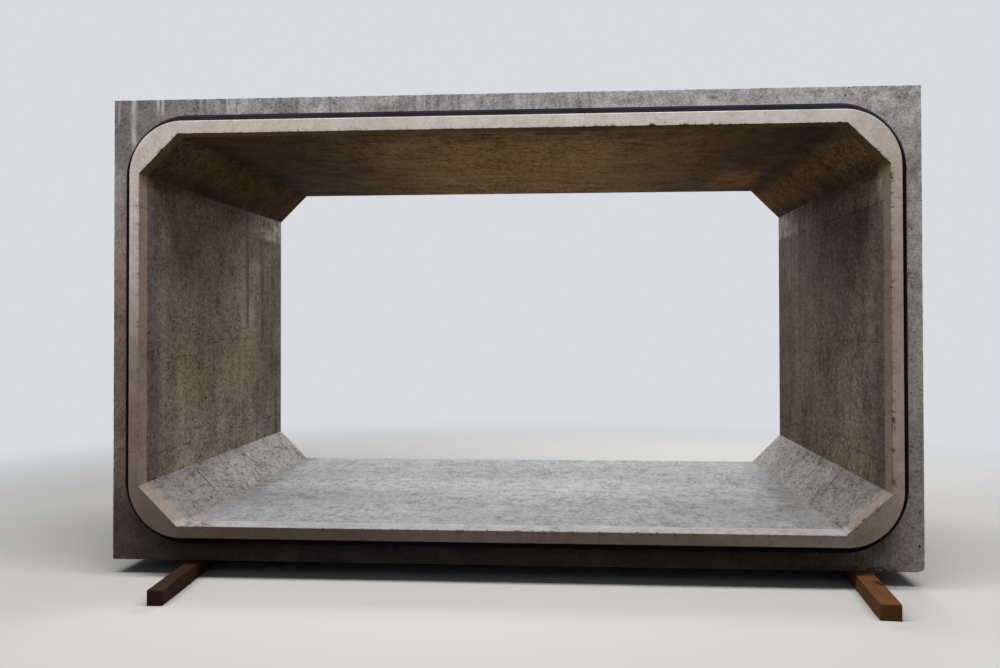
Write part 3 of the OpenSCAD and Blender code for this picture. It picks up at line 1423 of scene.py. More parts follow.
@dataclass(frozen=True)
class ConcreteFinish:
    """How one zone of the casting looks.

    Attributes:
        name: Name of the material.
        base: The usual colour.
        dark: Colour of its damp and dirty places.
        pale: Colour of its lime and laitance.
        cloud: How much the colour drifts over half a metre.
        mottle: How much it changes over a hand's width.
        grit: How much it changes over a finger's width.
        speck: How much it changes from one grain to the next.
        speck_size: Size of a grain.
        speck_way: How far each axis counts for the grit and the grains.
        streak: How much it changes from one streak to the next.
        streak_size: Width of a streak.
        streak_way: How far each axis counts for the streaks. They run along the least.
        pores: Radius of the largest pore as a share of its cell.
        pore_size: Width of a pore's cell.
        holes: Radius of the largest blowhole as a share of five of these cells.
        grain: Height of the finest relief.
        wave: Height of the relief over a hand's width.
        roughness: Roughness of the shader.
        gloss: Level of its reflections.
        painted_chip_shade: Colour of the dark breaks in its arrises, painted shade in their chips.
        lines: Mould joints that cross the zone.
        tints: Parts in another colour.
        marks: Small marks at places of their own.
        drips: Runs of lime water.
    """

    name: str
    base: Colour
    dark: Colour
    pale: Colour
    cloud: float = 0.8
    mottle: float = 0.8
    grit: float = 0.8
    speck: float = 1.7
    speck_size: float = 0.011
    speck_way: tuple[float, float, float] = (1.0, 1.0, 1.0)
    streak: float = 0.0
    streak_size: float = 0.05
    streak_way: tuple[float, float, float] = (1.0, 1.0, 0.1)
    pores: float = 0.22
    pore_size: float = 0.036
    holes: float = 0.0
    grain: float = 0.0014
    wave: float = 0.0030
    roughness: float = 0.85
    gloss: float = 0.3
    painted_chip_shade: Colour = tone(58, 46, 36)
    lines: tuple[JointLine, ...] = ()
    tints: tuple[Tint, ...] = ()
    marks: tuple[Mark, ...] = ()
    drips: tuple[Drip, ...] = ()

    def build(self) -> bpy.types.Material:
        """Builds the material.

        Formula: the tints go over the base colour. Four sizes of noise and the streaks
        add up to one tone, which multiplies the colour by the dark share above zero and
        by the pale one below it. Drips, marks, pores, joint lines and worn arrises then
        follow in this order. The pores' dark colour is painted shade inside them, and the worn
        arrises' breaks carry a painted highlight where pale and painted shade where dark.

        Returns:
            The material.
        """
        g = Graph(self.name)
        split = g.split(g.place)
        drawn = g.stretched(self.speck_way)
        noises = [
            (g.noise(CLOUD_SIZE, 4.0, 0.55), self.cloud),
            (g.noise(MOTTLE_SIZE, 5.0, 0.6), self.mottle),
            (g.noise(GRIT_SIZE, 3.0, 0.6, drawn), self.grit),
            (g.noise(self.speck_size, 2.0, 0.6, drawn), self.speck),
        ]
        if self.streak:
            streaks = g.noise(self.streak_size, 4.0, 0.6, g.stretched(self.streak_way))
            noises.append((streaks, self.streak))
        tone_sum: Value = 0.0
        for noise, weight in noises:
            tone_sum = g.math("ADD", tone_sum, g.swing(noise, 2.0 * weight))
        darker = g.math("MULTIPLY", tone_sum, 1.0, clamp=True)
        paler = g.math("MULTIPLY", tone_sum, -1.0, clamp=True)
        darker_share = tuple(d / b for d, b in zip(self.dark, self.base))
        paler_share = tuple(p / b for p, b in zip(self.pale, self.base))
        colour: Any = self.base
        for tint in self.tints:
            colour = tint.mix_in(g, split, colour)
        colour = g.mix(darker, colour, darker_share, "MULTIPLY")
        colour = g.mix(paler, colour, paler_share, "MULTIPLY")
        for drip in self.drips:
            colour = self.add_drip(g, split, colour, drip)
        for mark in self.marks:
            colour = mark.mix_in(g, colour)
        # Pores and blowholes are painted dark: painted shade inside them. The mould joints take the
        # same dark colour.
        hole_colour = tuple(0.16 * channel for channel in self.dark)
        pits: Value = g.times(g.spots(self.pore_size, self.pores), 0.75)
        if self.holes:
            pits = g.math("MAXIMUM", pits, g.spots(5.0 * self.pore_size, self.holes))
        colour = g.mix(pits, colour, hole_colour)
        seams = self.add_lines(g, split)
        colour = g.mix(seams, colour, hole_colour)
        wear = g.attribute("wear").outputs["Fac"]
        broken = g.noise(BREAK_SIZE, 3.0, 0.7)
        # The breaks' colour: pale ones are newly broken concrete with a painted highlight, dark
        # ones are painted shade in the chips.
        is_pale = g.ramp(wear, -0.1, 0.1)
        painted_break_colour = g.mix(is_pale, self.painted_chip_shade, g.mix(1.0, colour, paler_share, "MULTIPLY"))
        worn = g.math("ABSOLUTE", wear)
        breaks = g.times(worn, g.ramp(broken, 0.36, 0.50))
        breaks = g.times(breaks, g.ramp(is_pale, 0.0, 1.0, 0.92, 0.50))
        colour = g.mix(breaks, colour, painted_break_colour)
        normal = g.bump(noises[1][0], self.wave)
        normal = g.bump(noises[2][0], 0.4 * self.wave, normal)
        normal = g.bump(noises[3][0], self.grain, normal)
        normal = g.bump(g.times(worn, broken), BREAK_DEPTH, normal)
        normal = g.bump(g.math("SUBTRACT", 1.0, pits), PIT_DEPTH, normal)
        normal = g.bump(g.math("SUBTRACT", 1.0, seams), SEAM_DEPTH, normal)
        rough = g.ramp(noises[1][0], 0.3, 0.7, self.roughness - 0.08, self.roughness + 0.06)
        g.finish(colour, rough, normal, Specular_IOR_Level=self.gloss)
        return g.material

    def add_drip(self, g: Graph, split: bpy.types.Node, colour: Socket, drip: Drip) -> Socket:
        """Mixes one run of lime water into the shoulder's colour.

        Args:
            g: The material's graph.
            split: The place's parts along the axes.
            colour: The colour so far.
            drip: The run.

        Returns:
            The new colour.
        """
        bend = g.swing(g.noise(0.10, 2.0, 0.5, g.stretched((0.1, 0.1, 1.0))), 0.02)
        across = g.math("SUBTRACT", split.outputs[X], drip.x)
        across = g.math("ABSOLUTE", g.math("ADD", across, bend))
        factor = g.ramp(across, 1.4 * drip.width, 0.0, 0.0, drip.strength)
        washed = g.ramp(g.noise(0.07, 4.0, 0.6), 0.35, 0.60, 0.45, 1.0)
        factor = g.times(factor, washed)
        fall = g.ramp(split.outputs[Z], drip.low_z, drip.low_z + 0.09)
        front = g.ramp(split.outputs[Y], SHOULDER_Y + 0.015, SHOULDER_Y + 0.005)
        factor = g.times(g.times(factor, fall), front)
        return g.mix(factor, colour, self.pale)

    def add_lines(self, g: Graph, split: bpy.types.Node) -> Value:
        """Gives the mould joints: thin broken lines at set places along an axis.

        Args:
            g: The material's graph.
            split: The place's parts along the axes.

        Returns:
            The joints' strength, from 0 to 1.
        """
        stray = g.times(g.noise(0.3, 4.0, 0.6), 0.012)
        breaks = g.ramp(g.noise(0.12, 4.0, 0.6), 0.36, 0.58)
        total: Value = 0.0
        for line in self.lines:
            offset = g.math("SUBTRACT", split.outputs[line.axis], line.place + 0.006)
            away = g.math("ABSOLUTE", g.math("ADD", offset, stray))
            mark = g.ramp(away, line.width, 0.25 * line.width, 0.0, line.depth)
            for axis, start, full in line.within:
                mark = g.times(mark, g.ramp(split.outputs[axis], start, full))
            total = g.math("MAXIMUM", total, g.times(mark, breaks))
        return total


# Spans that the tints share. Each starts at its first place and is full at its second: the
# shoulder alone, the front of the outside, the two walls, the two upper haunches, the lip's top.
FRONT: Span = (Y, -1.060, -1.068)
FORE: Span = (Y, -0.75, -1.00)
LEFT: Span = (X, -1.7, -1.8)
RIGHT: Span = (X, 1.7, 1.8)
LEFT_SLOPE: Span = (X, -1.63, -1.69)
RIGHT_SLOPE: Span = (X, 1.63, 1.69)
TOP: Span = (Z, 2.15, 2.2)

# Joints between the mould's panels, level ones at heights and upright ones at places across
JOINTS_Z = (JointLine(Z, 0.65), JointLine(Z, 1.915))
JOINTS_X = tuple(JointLine(X, x) for x in (-1.39, -0.01, 0.38, 1.37))

# Small marks on the shoulder, which is square to the Y axis at this place
# The dark colour of the shoulder's small holes is painted shade inside them.
HOLE = tone(34, 30, 28)
SHOULDER_Y = -1.07
SHOULDER_RINGS = tuple(
    Mark((x, SHOULDER_Y, z), tone(176, 170, 164), 0.011, rim=True)
    for x, z in ((2.033, 1.262), (2.044, 1.064), (1.911, 0.118), (2.024, 1.988), (2.035, 1.466))
)
SHOULDER_SCUFFS = tuple(
    Mark((x, SHOULDER_Y, z), tone(*seen), width, (end_x, SHOULDER_Y, end_z), strength)
    for x, z, end_x, end_z, seen, width, strength in (
        (1.291, 2.447, 1.291, 2.447, (112, 62, 48), 0.008, 0.9),
        (1.03, 2.452, 1.07, 2.449, (84, 80, 76), 0.012, 0.6),
        (1.54, 2.466, 1.6, 2.474, (92, 88, 84), 0.013, 0.5),
        (-1.2, 0.098, -1.1, 0.098, (78, 64, 54), 0.03, 0.7),
        (1.9, 0.245, 1.9, 0.135, (142, 136, 130), 0.006, 0.5),
        (1.853, 0.18, 1.853, 0.13, (122, 115, 108), 0.007, 0.6),
        (1.785, 0.18, 1.785, 0.13, (132, 122, 108), 0.006, 0.6),
        (1.744, 0.175, 1.744, 0.13, (70, 52, 38), 0.01, 0.6),
        (1.725, 0.165, 1.725, 0.135, (112, 102, 92), 0.006, 0.5),
        (1.628, 0.16, 1.628, 0.14, (92, 50, 32), 0.01, 0.5),
        (1.534, 0.15, 1.534, 0.128, (104, 52, 36), 0.012, 0.6),
    )
)
SHOULDER_HOLES = tuple(
    Mark((x, SHOULDER_Y, z), HOLE, width)
    for x, z, width in (
        (-1.905, 2.455, 0.008), (-1.889, 2.481, 0.006), (-1.704, 2.451, 0.008),
        (1.707, 2.448, 0.007), (2.049, 0.204, 0.009), (2.033, 1.262, 0.005),
        (2.024, 1.779, 0.006),
    )
)

END_FACE = ConcreteFinish(
    "end_face_concrete", base=tone(180, 173, 165), dark=tone(146, 133, 123),
    pale=tone(204, 200, 196), cloud=0.5, mottle=0.75, grit=0.5, speck=0.65, pores=0.1,
    pore_size=0.05, grain=0.0005, wave=0.0014, roughness=0.72,
    lines=JOINTS_Z + tuple(replace(line, depth=0.2) for line in JOINTS_X),
    tints=(
        Tint(tone(158, 142, 127), 0.8, ((X, 1.35, 1.85), (Z, 2.5, 2.0)), 0.08, 0.4),
        # Darker at the lower left edge of the end face: painted shade.
        Tint(tone(146, 125, 114), 0.95, ((X, -1.7, -1.85), (Z, 1.6, 0.95)), 0.06, 0.3),
        Tint(tone(196, 186, 179), 0.7, ((X, -1.75, -1.9), (Z, 1.4, 1.75))),
        # Darker towards the bottom of the end face: painted shade.
        Tint(tone(100, 84, 73), 0.92, ((Z, 0.66, 0.24), (X, -2.4, -1.7), (X, 2.2, 0.9)), 0.08, 0.5),
        Tint(tone(80, 66, 56), 0.6, ((Z, 0.42, 0.28), (X, -1.75, -1.45), (X, -0.2, -0.8)), 0.04),
        Tint(tone(176, 164, 152), 0.7, ((X, 1.75, 1.88), (Z, 1.2, 0.9), (Z, 0.42, 0.6)), 0.04),
        Tint(tone(84, 70, 60), 0.22, ((Z, 0.34, 0.29), (X, 0.7, 1.2)), 0.03),
    ),
    marks=(Mark((-1.051, -1.18, 2.299), tone(140, 94, 56), 0.007, strength=0.8),),
)

# The mouth's lip is the end face's concrete painted darker: painted shade where it faces inwards
# and downwards.
MOUTH_LIP = ConcreteFinish(
    "mouth_lip_concrete", base=tone(123, 109, 96), dark=tone(95, 80, 67), pale=tone(135, 122, 111),
    cloud=0.5, mottle=0.9, grit=0.8, speck=1.0, pores=0.1, pore_size=0.05, grain=0.0005,
    wave=0.0014, roughness=0.8, gloss=0.12, lines=JOINTS_Z,
    tints=(
        # Darker at the sides and darkest along the top: painted shade.
        Tint(tone(135, 120, 106), 0.95, (LEFT,), 0.002, 0.02),
        Tint(tone(132, 118, 103), 0.9, (RIGHT, (Z, 1.1, 0.8))),
        Tint(tone(102, 79, 46), 0.95, ((Z, 1.98, 2.14),), 0.002, 0.02),
        Tint(tone(113, 88, 54), 0.9, (TOP, (X, 0.2, -0.3))),
        Tint(tone(126, 100, 72), 0.9, (TOP, (X, -0.9, -1.3))),
        Tint(tone(92, 67, 32), 0.9, (TOP, (X, 0.0, 0.3), (X, 1.3, 0.9))),
        Tint(tone(141, 129, 120), 0.95, ((Z, 0.5, 0.46),), 0.004, 0.02),
        Tint(tone(157, 156, 156), 0.95, ((Z, 0.308, 0.294),), 0.002, 0.05),
        Tint(
            tone(96, 78, 66), 0.8, ((Z, 0.32, 0.3), (X, -1.71, -1.63), (X, -1.45, -1.56)), 0.015,
            0.05, patchy=0.03,
        ),
    ),
)

FORM_CAST = ConcreteFinish(
    "form_cast_concrete", base=tone(142, 140, 139), dark=tone(94, 90, 87), pale=tone(172, 171, 170),
    cloud=0.8, mottle=0.75, grit=0.85, speck=1.35, pores=0.16, lines=JOINTS_Z + JOINTS_X,
    tints=(
        Tint(tone(92, 88, 86), 0.85, (FORE, (X, -1.45, -1.9), (Z, 2.0, 2.2))),
        Tint(tone(100, 96, 93), 0.55, ((X, 0.6, -1.0), (Z, 2.2, 2.4)), patchy=0.15),
        Tint(tone(148, 146, 144), 0.5, ((X, 1.3, 1.6), (Z, 2.05, 2.3)), 0.06),
        Tint(tone(143, 118, 103), 0.75, (FORE, (X, -1.8, -2.0), (Z, 2.35, 1.5)), 0.05),
        Tint(tone(180, 170, 163), 0.8, (FORE, (X, 1.85, 1.95), (Z, 2.1, 1.7)), 0.04),
        Tint(
            tone(96, 91, 87), 0.55, ((X, 1.86, 1.96), (Z, 1.92, 2.0), (Z, 2.34, 2.22)), 0.04,
            patchy=0.05,
        ),
        # Darker towards the bottom, more so at the lower left and in the strip below the spigot:
        # painted shade.
        Tint(tone(58, 48, 42), 0.5, (FORE, (Z, 0.62, 0.12), (X, 2.0, 1.5)), 0.08),
        Tint(tone(74, 62, 52), 0.7, (FORE, (Z, 0.55, 0.25), (X, -1.75, -1.95)), 0.06),
        Tint(
            tone(32, 22, 13), 0.82, (FORE, (Z, 0.32, 0.2), (X, -2.02, -1.7), (X, 1.88, 1.5)), 0.03,
            0.12,
        ),
        # Near black under the rubber ring: painted shadow.
        Tint(
            tone(10, 5, 1), 0.85,
            (FORE, (Z, 0.12, 0.165), (Z, 0.4, 0.3), (X, -1.88, -1.6), (X, 1.82, 1.5)), 0.006, 0.08,
        ),
        Tint(
            tone(112, 102, 93), 0.6, (FRONT, (Z, 0.36, 0.26), (X, 1.2, 1.45), (X, 2.0, 1.9)),
            runs=0.014, share=0.35,
        ),
        # Near black along the lower right edge of the shoulder: painted shade.
        Tint(
            tone(22, 18, 15), 0.85, (FRONT, (Z, 0.106, 0.09), (X, 1.3, 1.5), (X, 2.02, 1.92)),
            0.008, 0.03, patchy=0.02,
        ),
        Tint(tone(80, 76, 72), 0.55, (FRONT, (Z, 2.4, 2.46)), 0.02, 0.1, patchy=0.1),
        Tint(
            tone(80, 77, 74), 0.5, (FRONT, (Z, 2.3, 2.44), (X, 0.95, 0.3)), 0.02, 0.08, runs=0.028,
            share=0.4,
        ),
    ),
    marks=SHOULDER_RINGS + SHOULDER_SCUFFS + SHOULDER_HOLES,
    drips=(
        Drip(-2.047, 2.33, 0.009, 0.55),
        Drip(-1.968, 2.16, 0.016, 0.85),
        Drip(-1.837, 2.38, 0.011, 0.75),
        Drip(-1.811, 2.36, 0.01, 0.7),
        Drip(-1.602, 2.4, 0.01, 0.45),
        Drip(-1.566, 2.4, 0.008, 0.45),
        Drip(-1.461, 2.39, 0.007, 0.55),
        Drip(-1.284, 2.4, 0.006, 0.45),
        Drip(-1.071, 2.39, 0.007, 0.55),
    ),
)

WALLS = ConcreteFinish(
    "waterway_wall_concrete", base=tone(130, 114, 95), dark=tone(82, 69, 56),
    pale=tone(158, 146, 130), cloud=0.9, mottle=1.0, grit=1.0, speck=1.5, speck_size=0.014,
    speck_way=(1.0, 0.45, 1.0), streak=0.6, pores=0.3, pore_size=0.034, holes=0.07, roughness=0.88,
    gloss=0.2,
    lines=(
        JointLine(Z, 0.62, 0.004, 0.6),
        JointLine(Z, 1.125, 0.0045, 0.5),
        JointLine(Z, 1.21, 0.0035, 0.5),
        JointLine(Z, 1.912, 0.005, 0.8, (RIGHT,)),
        JointLine(Z, 1.912, 0.0045, 0.4, (LEFT, (Y, -0.7, -0.3))),
    ),
    tints=(
        Tint(tone(142, 123, 102), 0.95, (RIGHT,)),
        Tint(tone(114, 99, 82), 0.9, ((Y, 0.7, 0.95),), 0.03),
        Tint(tone(104, 91, 78), 0.8, ((Y, 0.35, 0.7), LEFT), 0.05),
        Tint(tone(142, 127, 109), 0.8, (LEFT, (Z, 1.15, 1.4), (Y, 0.6, 0.3)), 0.05),
        Tint(tone(126, 118, 105), 0.8, (LEFT, (Z, 0.95, 0.65)), 0.05),
        Tint(tone(104, 91, 76), 0.8, ((Y, -0.6, -0.85),), 0.05, 0.2),
        Tint(
            tone(164, 146, 126), 0.85, (LEFT, (Z, 1.6, 1.95), (Y, 0.3, -0.4), (Y, -1.03, -0.9)),
            0.05,
        ),
        Tint(tone(176, 154, 130), 0.8, (RIGHT, (Z, 1.91, 1.93), (Y, -0.2, -0.8)), 0.01),
        Tint(tone(78, 74, 69), 0.85, ((Y, -0.9, -1.02), (Z, 2.04, 1.9)), 0.04),
        Tint(tone(178, 164, 150), 0.6, (RIGHT, (Z, 1.9, 1.94), (Y, 0.0, 0.35)), 0.02),
        Tint(tone(66, 57, 48), 0.5, (RIGHT, (Y, -1.0, -0.85)), patchy=0.022),
        Tint(tone(70, 61, 51), 0.45, (RIGHT, (Y, -1.0, -0.6)), patchy=0.013),
        # Darker at the walls' top, under the upper haunches: painted shade.
        Tint(tone(66, 52, 37), 0.7, ((Z, 2.0, 2.08), (Y, 0.4, -0.1)), 0.015),
        Tint(tone(154, 141, 127), 0.5, ((Z, 1.9, 1.925), (Y, -0.2, 0.7)), 0.004),
        Tint(tone(190, 178, 165), 0.75, ((Y, 0.4, 0.66), (Z, 1.91, 1.95)), 0.02, patchy=0.09),
        Tint(
            tone(58, 53, 50), 0.6, (RIGHT, (Y, -0.66, -0.86), (Z, 0.6, 0.74), (Z, 1.12, 1.02)),
            0.04, patchy=0.07,
        ),
        Tint(tone(70, 61, 51), 0.5, ((Y, 0.1, 0.5),), 0.06, 0.3, runs=0.035, share=0.3),
        Tint(tone(98, 86, 73), 0.7, ((Y, -1.075, -1.1),), 0.01, 0.05),
    ),
    marks=(
        Mark((-1.875, 0.345, 1.85), tone(52, 44, 36), 0.035, (-1.875, 0.356, 1.3), 0.55),
        Mark((-1.875, 0.63, 1.9), tone(52, 44, 36), 0.035, (-1.875, 0.645, 1.2), 0.5),
        Mark((1.875, 0.69, 1.9), tone(50, 42, 34), 0.03, (1.875, 0.69, 0.75), 0.45),
        Mark((1.875, -0.58, 1.05), tone(60, 52, 43), 0.02, (1.875, -0.58, 0.75), 0.4),
        Mark((-1.875, -0.35, 2.066), tone(168, 152, 132), 0.008, (-1.875, 0.33, 2.068), 0.6),
    ),
)

CEILING = ConcreteFinish(
    "waterway_ceiling_concrete", base=tone(170, 132, 84), dark=tone(96, 72, 43),
    pale=tone(200, 162, 112), cloud=1.0, mottle=1.2, grit=1.3, speck=1.8, speck_size=0.014,
    speck_way=(1.0, 0.5, 1.0), streak=1.2, streak_size=0.03, streak_way=(0.1, 1.0, 1.0), pores=0.2,
    holes=0.05, roughness=0.88, gloss=0.15,
    lines=(
        JointLine(X, 1.378, 0.005, 0.6),
        JointLine(X, 0.22, 0.004, 0.4),
    ),
    tints=(
        Tint(tone(60, 39, 14), 0.9, ((X, -0.2, -1.35),), 0.12, 0.4),
        Tint(tone(72, 46, 17), 0.85, ((X, 0.3, 1.4),), 0.12, 0.4),
        Tint(tone(84, 58, 23), 0.92, (LEFT_SLOPE,), 0.01),
        Tint(tone(122, 89, 46), 0.92, (RIGHT_SLOPE,), 0.01),
        Tint(tone(22, 14, 6), 0.6, ((X, -1.45, -1.66), (Z, 2.235, 2.275)), 0.02),
        Tint(tone(30, 19, 8), 0.6, ((X, 1.52, 1.66), (Z, 2.235, 2.275)), 0.02),
        Tint(tone(24, 16, 7), 0.65, ((Z, 2.18, 2.09),), 0.02),
        Tint(tone(72, 54, 34), 0.6, ((Y, -0.75, -1.08), (Z, 2.2, 2.25)), 0.04, 0.3),
        Tint(tone(111, 91, 66), 0.8, ((X, -1.66, -1.7), (Y, -0.3, -0.9)), 0.01),
        Tint(tone(164, 134, 90), 0.8, ((X, 1.66, 1.7), (Y, -0.3, -0.9)), 0.01),
        Tint(
            tone(168, 118, 64), 0.7,
            ((X, 1.24, 1.34), (X, 1.64, 1.54), (Y, 0.08, 0.3), (Y, 0.95, 0.72)), 0.03,
        ),
        Tint(
            tone(128, 88, 46), 0.7, ((X, 0.2, 0.6), (X, 1.45, 1.15), (Y, -0.5, -0.8)), 0.04,
            patchy=0.07,
        ),
        Tint(tone(122, 92, 52), 0.4, (RIGHT_SLOPE, (Y, 0.4, 0.0)), patchy=0.05),
        Tint(tone(100, 74, 40), 0.5, (LEFT_SLOPE,), patchy=0.05),
        Tint(tone(44, 30, 13), 0.6, ((Z, 2.19, 2.1), (Y, 0.1, -0.4)), 0.02),
        Tint(tone(46, 33, 18), 0.5, ((Z, 2.2, 2.25), (X, 0.9, 1.4), (Y, -0.4, -0.9)), 0.05),
    ),
    marks=(
        Mark((-0.383, -0.96, 2.285), tone(190, 154, 110), 0.022, (-0.246, 0.86, 2.285), 0.35),
        Mark((0.855, -0.67, 2.285), tone(170, 128, 84), 0.009, (0.884, -0.92, 2.285), 0.5),
        Mark((0.925, -0.7, 2.285), tone(170, 128, 84), 0.007, (0.95, -0.93, 2.285), 0.4),
        Mark((1.073, -0.87, 2.285), tone(150, 110, 70), 0.014, (1.221, -1.01, 2.285), 0.45),
        Mark((0.78, 0.2, 2.285), tone(156, 110, 62), 0.09, (1.05, 0.24, 2.285), 0.5),
        Mark((-1.05, 0.05, 2.285), tone(112, 78, 44), 0.07, (-0.7, 0.1, 2.285), 0.4),
        Mark((-1.704, -0.51, 2.256), tone(20, 14, 8), 0.007, (-1.81, -0.516, 2.15), 0.7),
        # Near black behind the top lip: a painted shadow.
        Mark((0.17, -1.055, 2.285), tone(6, 4, 3), 0.024, (0.37, -1.04, 2.285), 0.95),
    ),
)

FLOOR = ConcreteFinish(
    "waterway_floor_concrete", base=tone(188, 189, 189), dark=tone(142, 141, 139),
    pale=tone(208, 210, 212), cloud=0.6, mottle=0.7, grit=1.5, speck=1.7, speck_size=0.015,
    speck_way=(0.8, 0.4, 1.0), streak=0.8, streak_size=0.035, streak_way=(0.15, 1.0, 1.0),
    pores=0.22, pore_size=0.05, holes=0.05, grain=0.0008, wave=0.0016, roughness=0.7,
    tints=(
        Tint(tone(198, 199, 199), 0.9, ((X, -0.3, -0.9),), 0.05),
        Tint(tone(178, 179, 179), 0.9, ((X, 0.3, 0.95),), 0.05),
        # Darker towards the front of the floor: painted shade.
        Tint(tone(120, 120, 120), 0.9, ((Y, 0.1, -0.65),), 0.08, 0.3),
        Tint(tone(140, 140, 140), 0.9, ((Y, 0.1, -0.65), (X, -0.1, -0.6)), 0.05),
        Tint(tone(104, 99, 95), 0.7, ((X, 1.42, 1.66), (Y, 0.45, -0.2)), 0.05),
        Tint(tone(116, 112, 108), 0.5, ((X, -1.46, -1.66), (Y, 0.45, -0.2)), 0.05),
        Tint(tone(140, 139, 137), 0.7, ((X, 1.5, 1.67),), 0.03),
        Tint(tone(140, 139, 137), 0.6, ((X, -1.52, -1.67),), 0.03),
        # A darker strip just behind the lip: a painted shadow line.
        Tint(tone(110, 108, 105), 0.6, ((Y, -1.045, -1.07),), 0.01, 0.1, patchy=0.08),
    ),
)

SCAR = tone(62, 58, 54)
LOWER_HAUNCHES = ConcreteFinish(
    "lower_haunch_concrete", base=tone(170, 166, 162), dark=tone(112, 107, 101),
    pale=tone(192, 190, 188), cloud=0.7, mottle=0.9, grit=1.4, speck=1.9, speck_size=0.013,
    speck_way=(1.0, 0.5, 1.0), pores=0.38, pore_size=0.03, holes=0.1, roughness=0.82,
    tints=(
        # Darker towards the front of the lower haunches: painted shade.
        Tint(tone(114, 110, 106), 0.9, ((Y, 0.1, -0.65),), 0.08, 0.3),
        Tint(tone(100, 95, 90), 0.5, ((Z, 0.41, 0.48), (Y, 0.6, 0.0)), 0.02),
        Tint(tone(134, 127, 120), 0.5, ((Y, -1.03, -1.075),), 0.02, 0.08),
    ),
    marks=(
        Mark((-1.853, -0.543, 0.463), SCAR, 0.01, (-1.721, -0.547, 0.331), 0.8),
        Mark((-1.843, 0.185, 0.453), SCAR, 0.008, (-1.752, 0.223, 0.362), 0.6),
        Mark((1.872, -0.448, 0.482), SCAR, 0.01, (1.729, -0.501, 0.339), 0.8),
        Mark((1.848, 0.238, 0.458), SCAR, 0.008, (1.743, 0.271, 0.353), 0.6),
    ),
)

# The finish of each zone
CONCRETE = {
    Zone.FACE: END_FACE,
    Zone.LIP: MOUTH_LIP,
    Zone.FORM: FORM_CAST,
    Zone.WALL: WALLS,
    Zone.CEILING: CEILING,
    Zone.FLOOR: FLOOR,
    Zone.HAUNCH: LOWER_HAUNCHES,
}


@dataclass(frozen=True)
class RubberFinish:
    """Black extruded rubber. The flanks of its upper run are paler: the rubber is dusted there, and
    a bluish sheen is painted on.

    Attributes:
        colour: The rubber's colour.
        dust_and_sheen: Colour of the upper run's flanks: dusted rubber with a painted bluish sheen.
    """

    colour: Colour = tone(2, 2, 3)
    dust_and_sheen: Colour = tone(38, 40, 46)

    def build(self) -> bpy.types.Material:
        """Builds the material.

        Returns:
            The material.
        """
        g = Graph("seal_rubber_black")
        split = g.split(g.place)
        crown = g.attribute("crown").outputs["Fac"]
        smear = g.noise(0.05, 5.0, 0.6, g.stretched((0.3, 1.0, 0.3)))
        # Paler on the upper run's flanks: dusted rubber and a painted bluish sheen.
        upper = g.ramp(split.outputs[Z], 2.05, 2.36, 0.06, 1.0)
        flank = g.ramp(crown, 0.95, 0.70, 0.15, 1.0)
        patchy = g.ramp(smear, 0.3, 0.65, 0.6, 1.0)
        dust_and_sheen_share = g.times(g.times(upper, flank), patchy)
        colour = g.mix(dust_and_sheen_share, self.colour, self.dust_and_sheen)
        normal = g.bump(g.noise(0.004, 3.0, 0.6), 0.0002)
        g.finish(colour, g.ramp(smear, 0.35, 0.7, 0.5, 0.65), normal, Specular_IOR_Level=0.05)
        return g.material


@dataclass(frozen=True)
class SteelFinish:
    """Forged steel that has started to rust.

    Attributes:
        scale: Colour of the forge scale.
        rust: Colour of the rust.
    """

    scale: Colour = tone(92, 86, 80)
    rust: Colour = tone(122, 74, 44)

    def build(self) -> bpy.types.Material:
        """Builds the material.

        Returns:
            The material.
        """
        g = Graph("anchor_forged_steel")
        patch = g.noise(0.018, 6.0, 0.65)
        rusted = g.ramp(patch, 0.45, 0.62)
        colour = g.mix(rusted, self.scale, self.rust)
        metal = g.ramp(patch, 0.48, 0.6, 0.85, 0.0)
        rough = g.ramp(patch, 0.45, 0.62, 0.48, 0.9)
        normal = g.bump(g.noise(0.003, 4.0, 0.7), 0.0004)
        g.finish(colour, rough, normal, Metallic=metal)
        return g.material


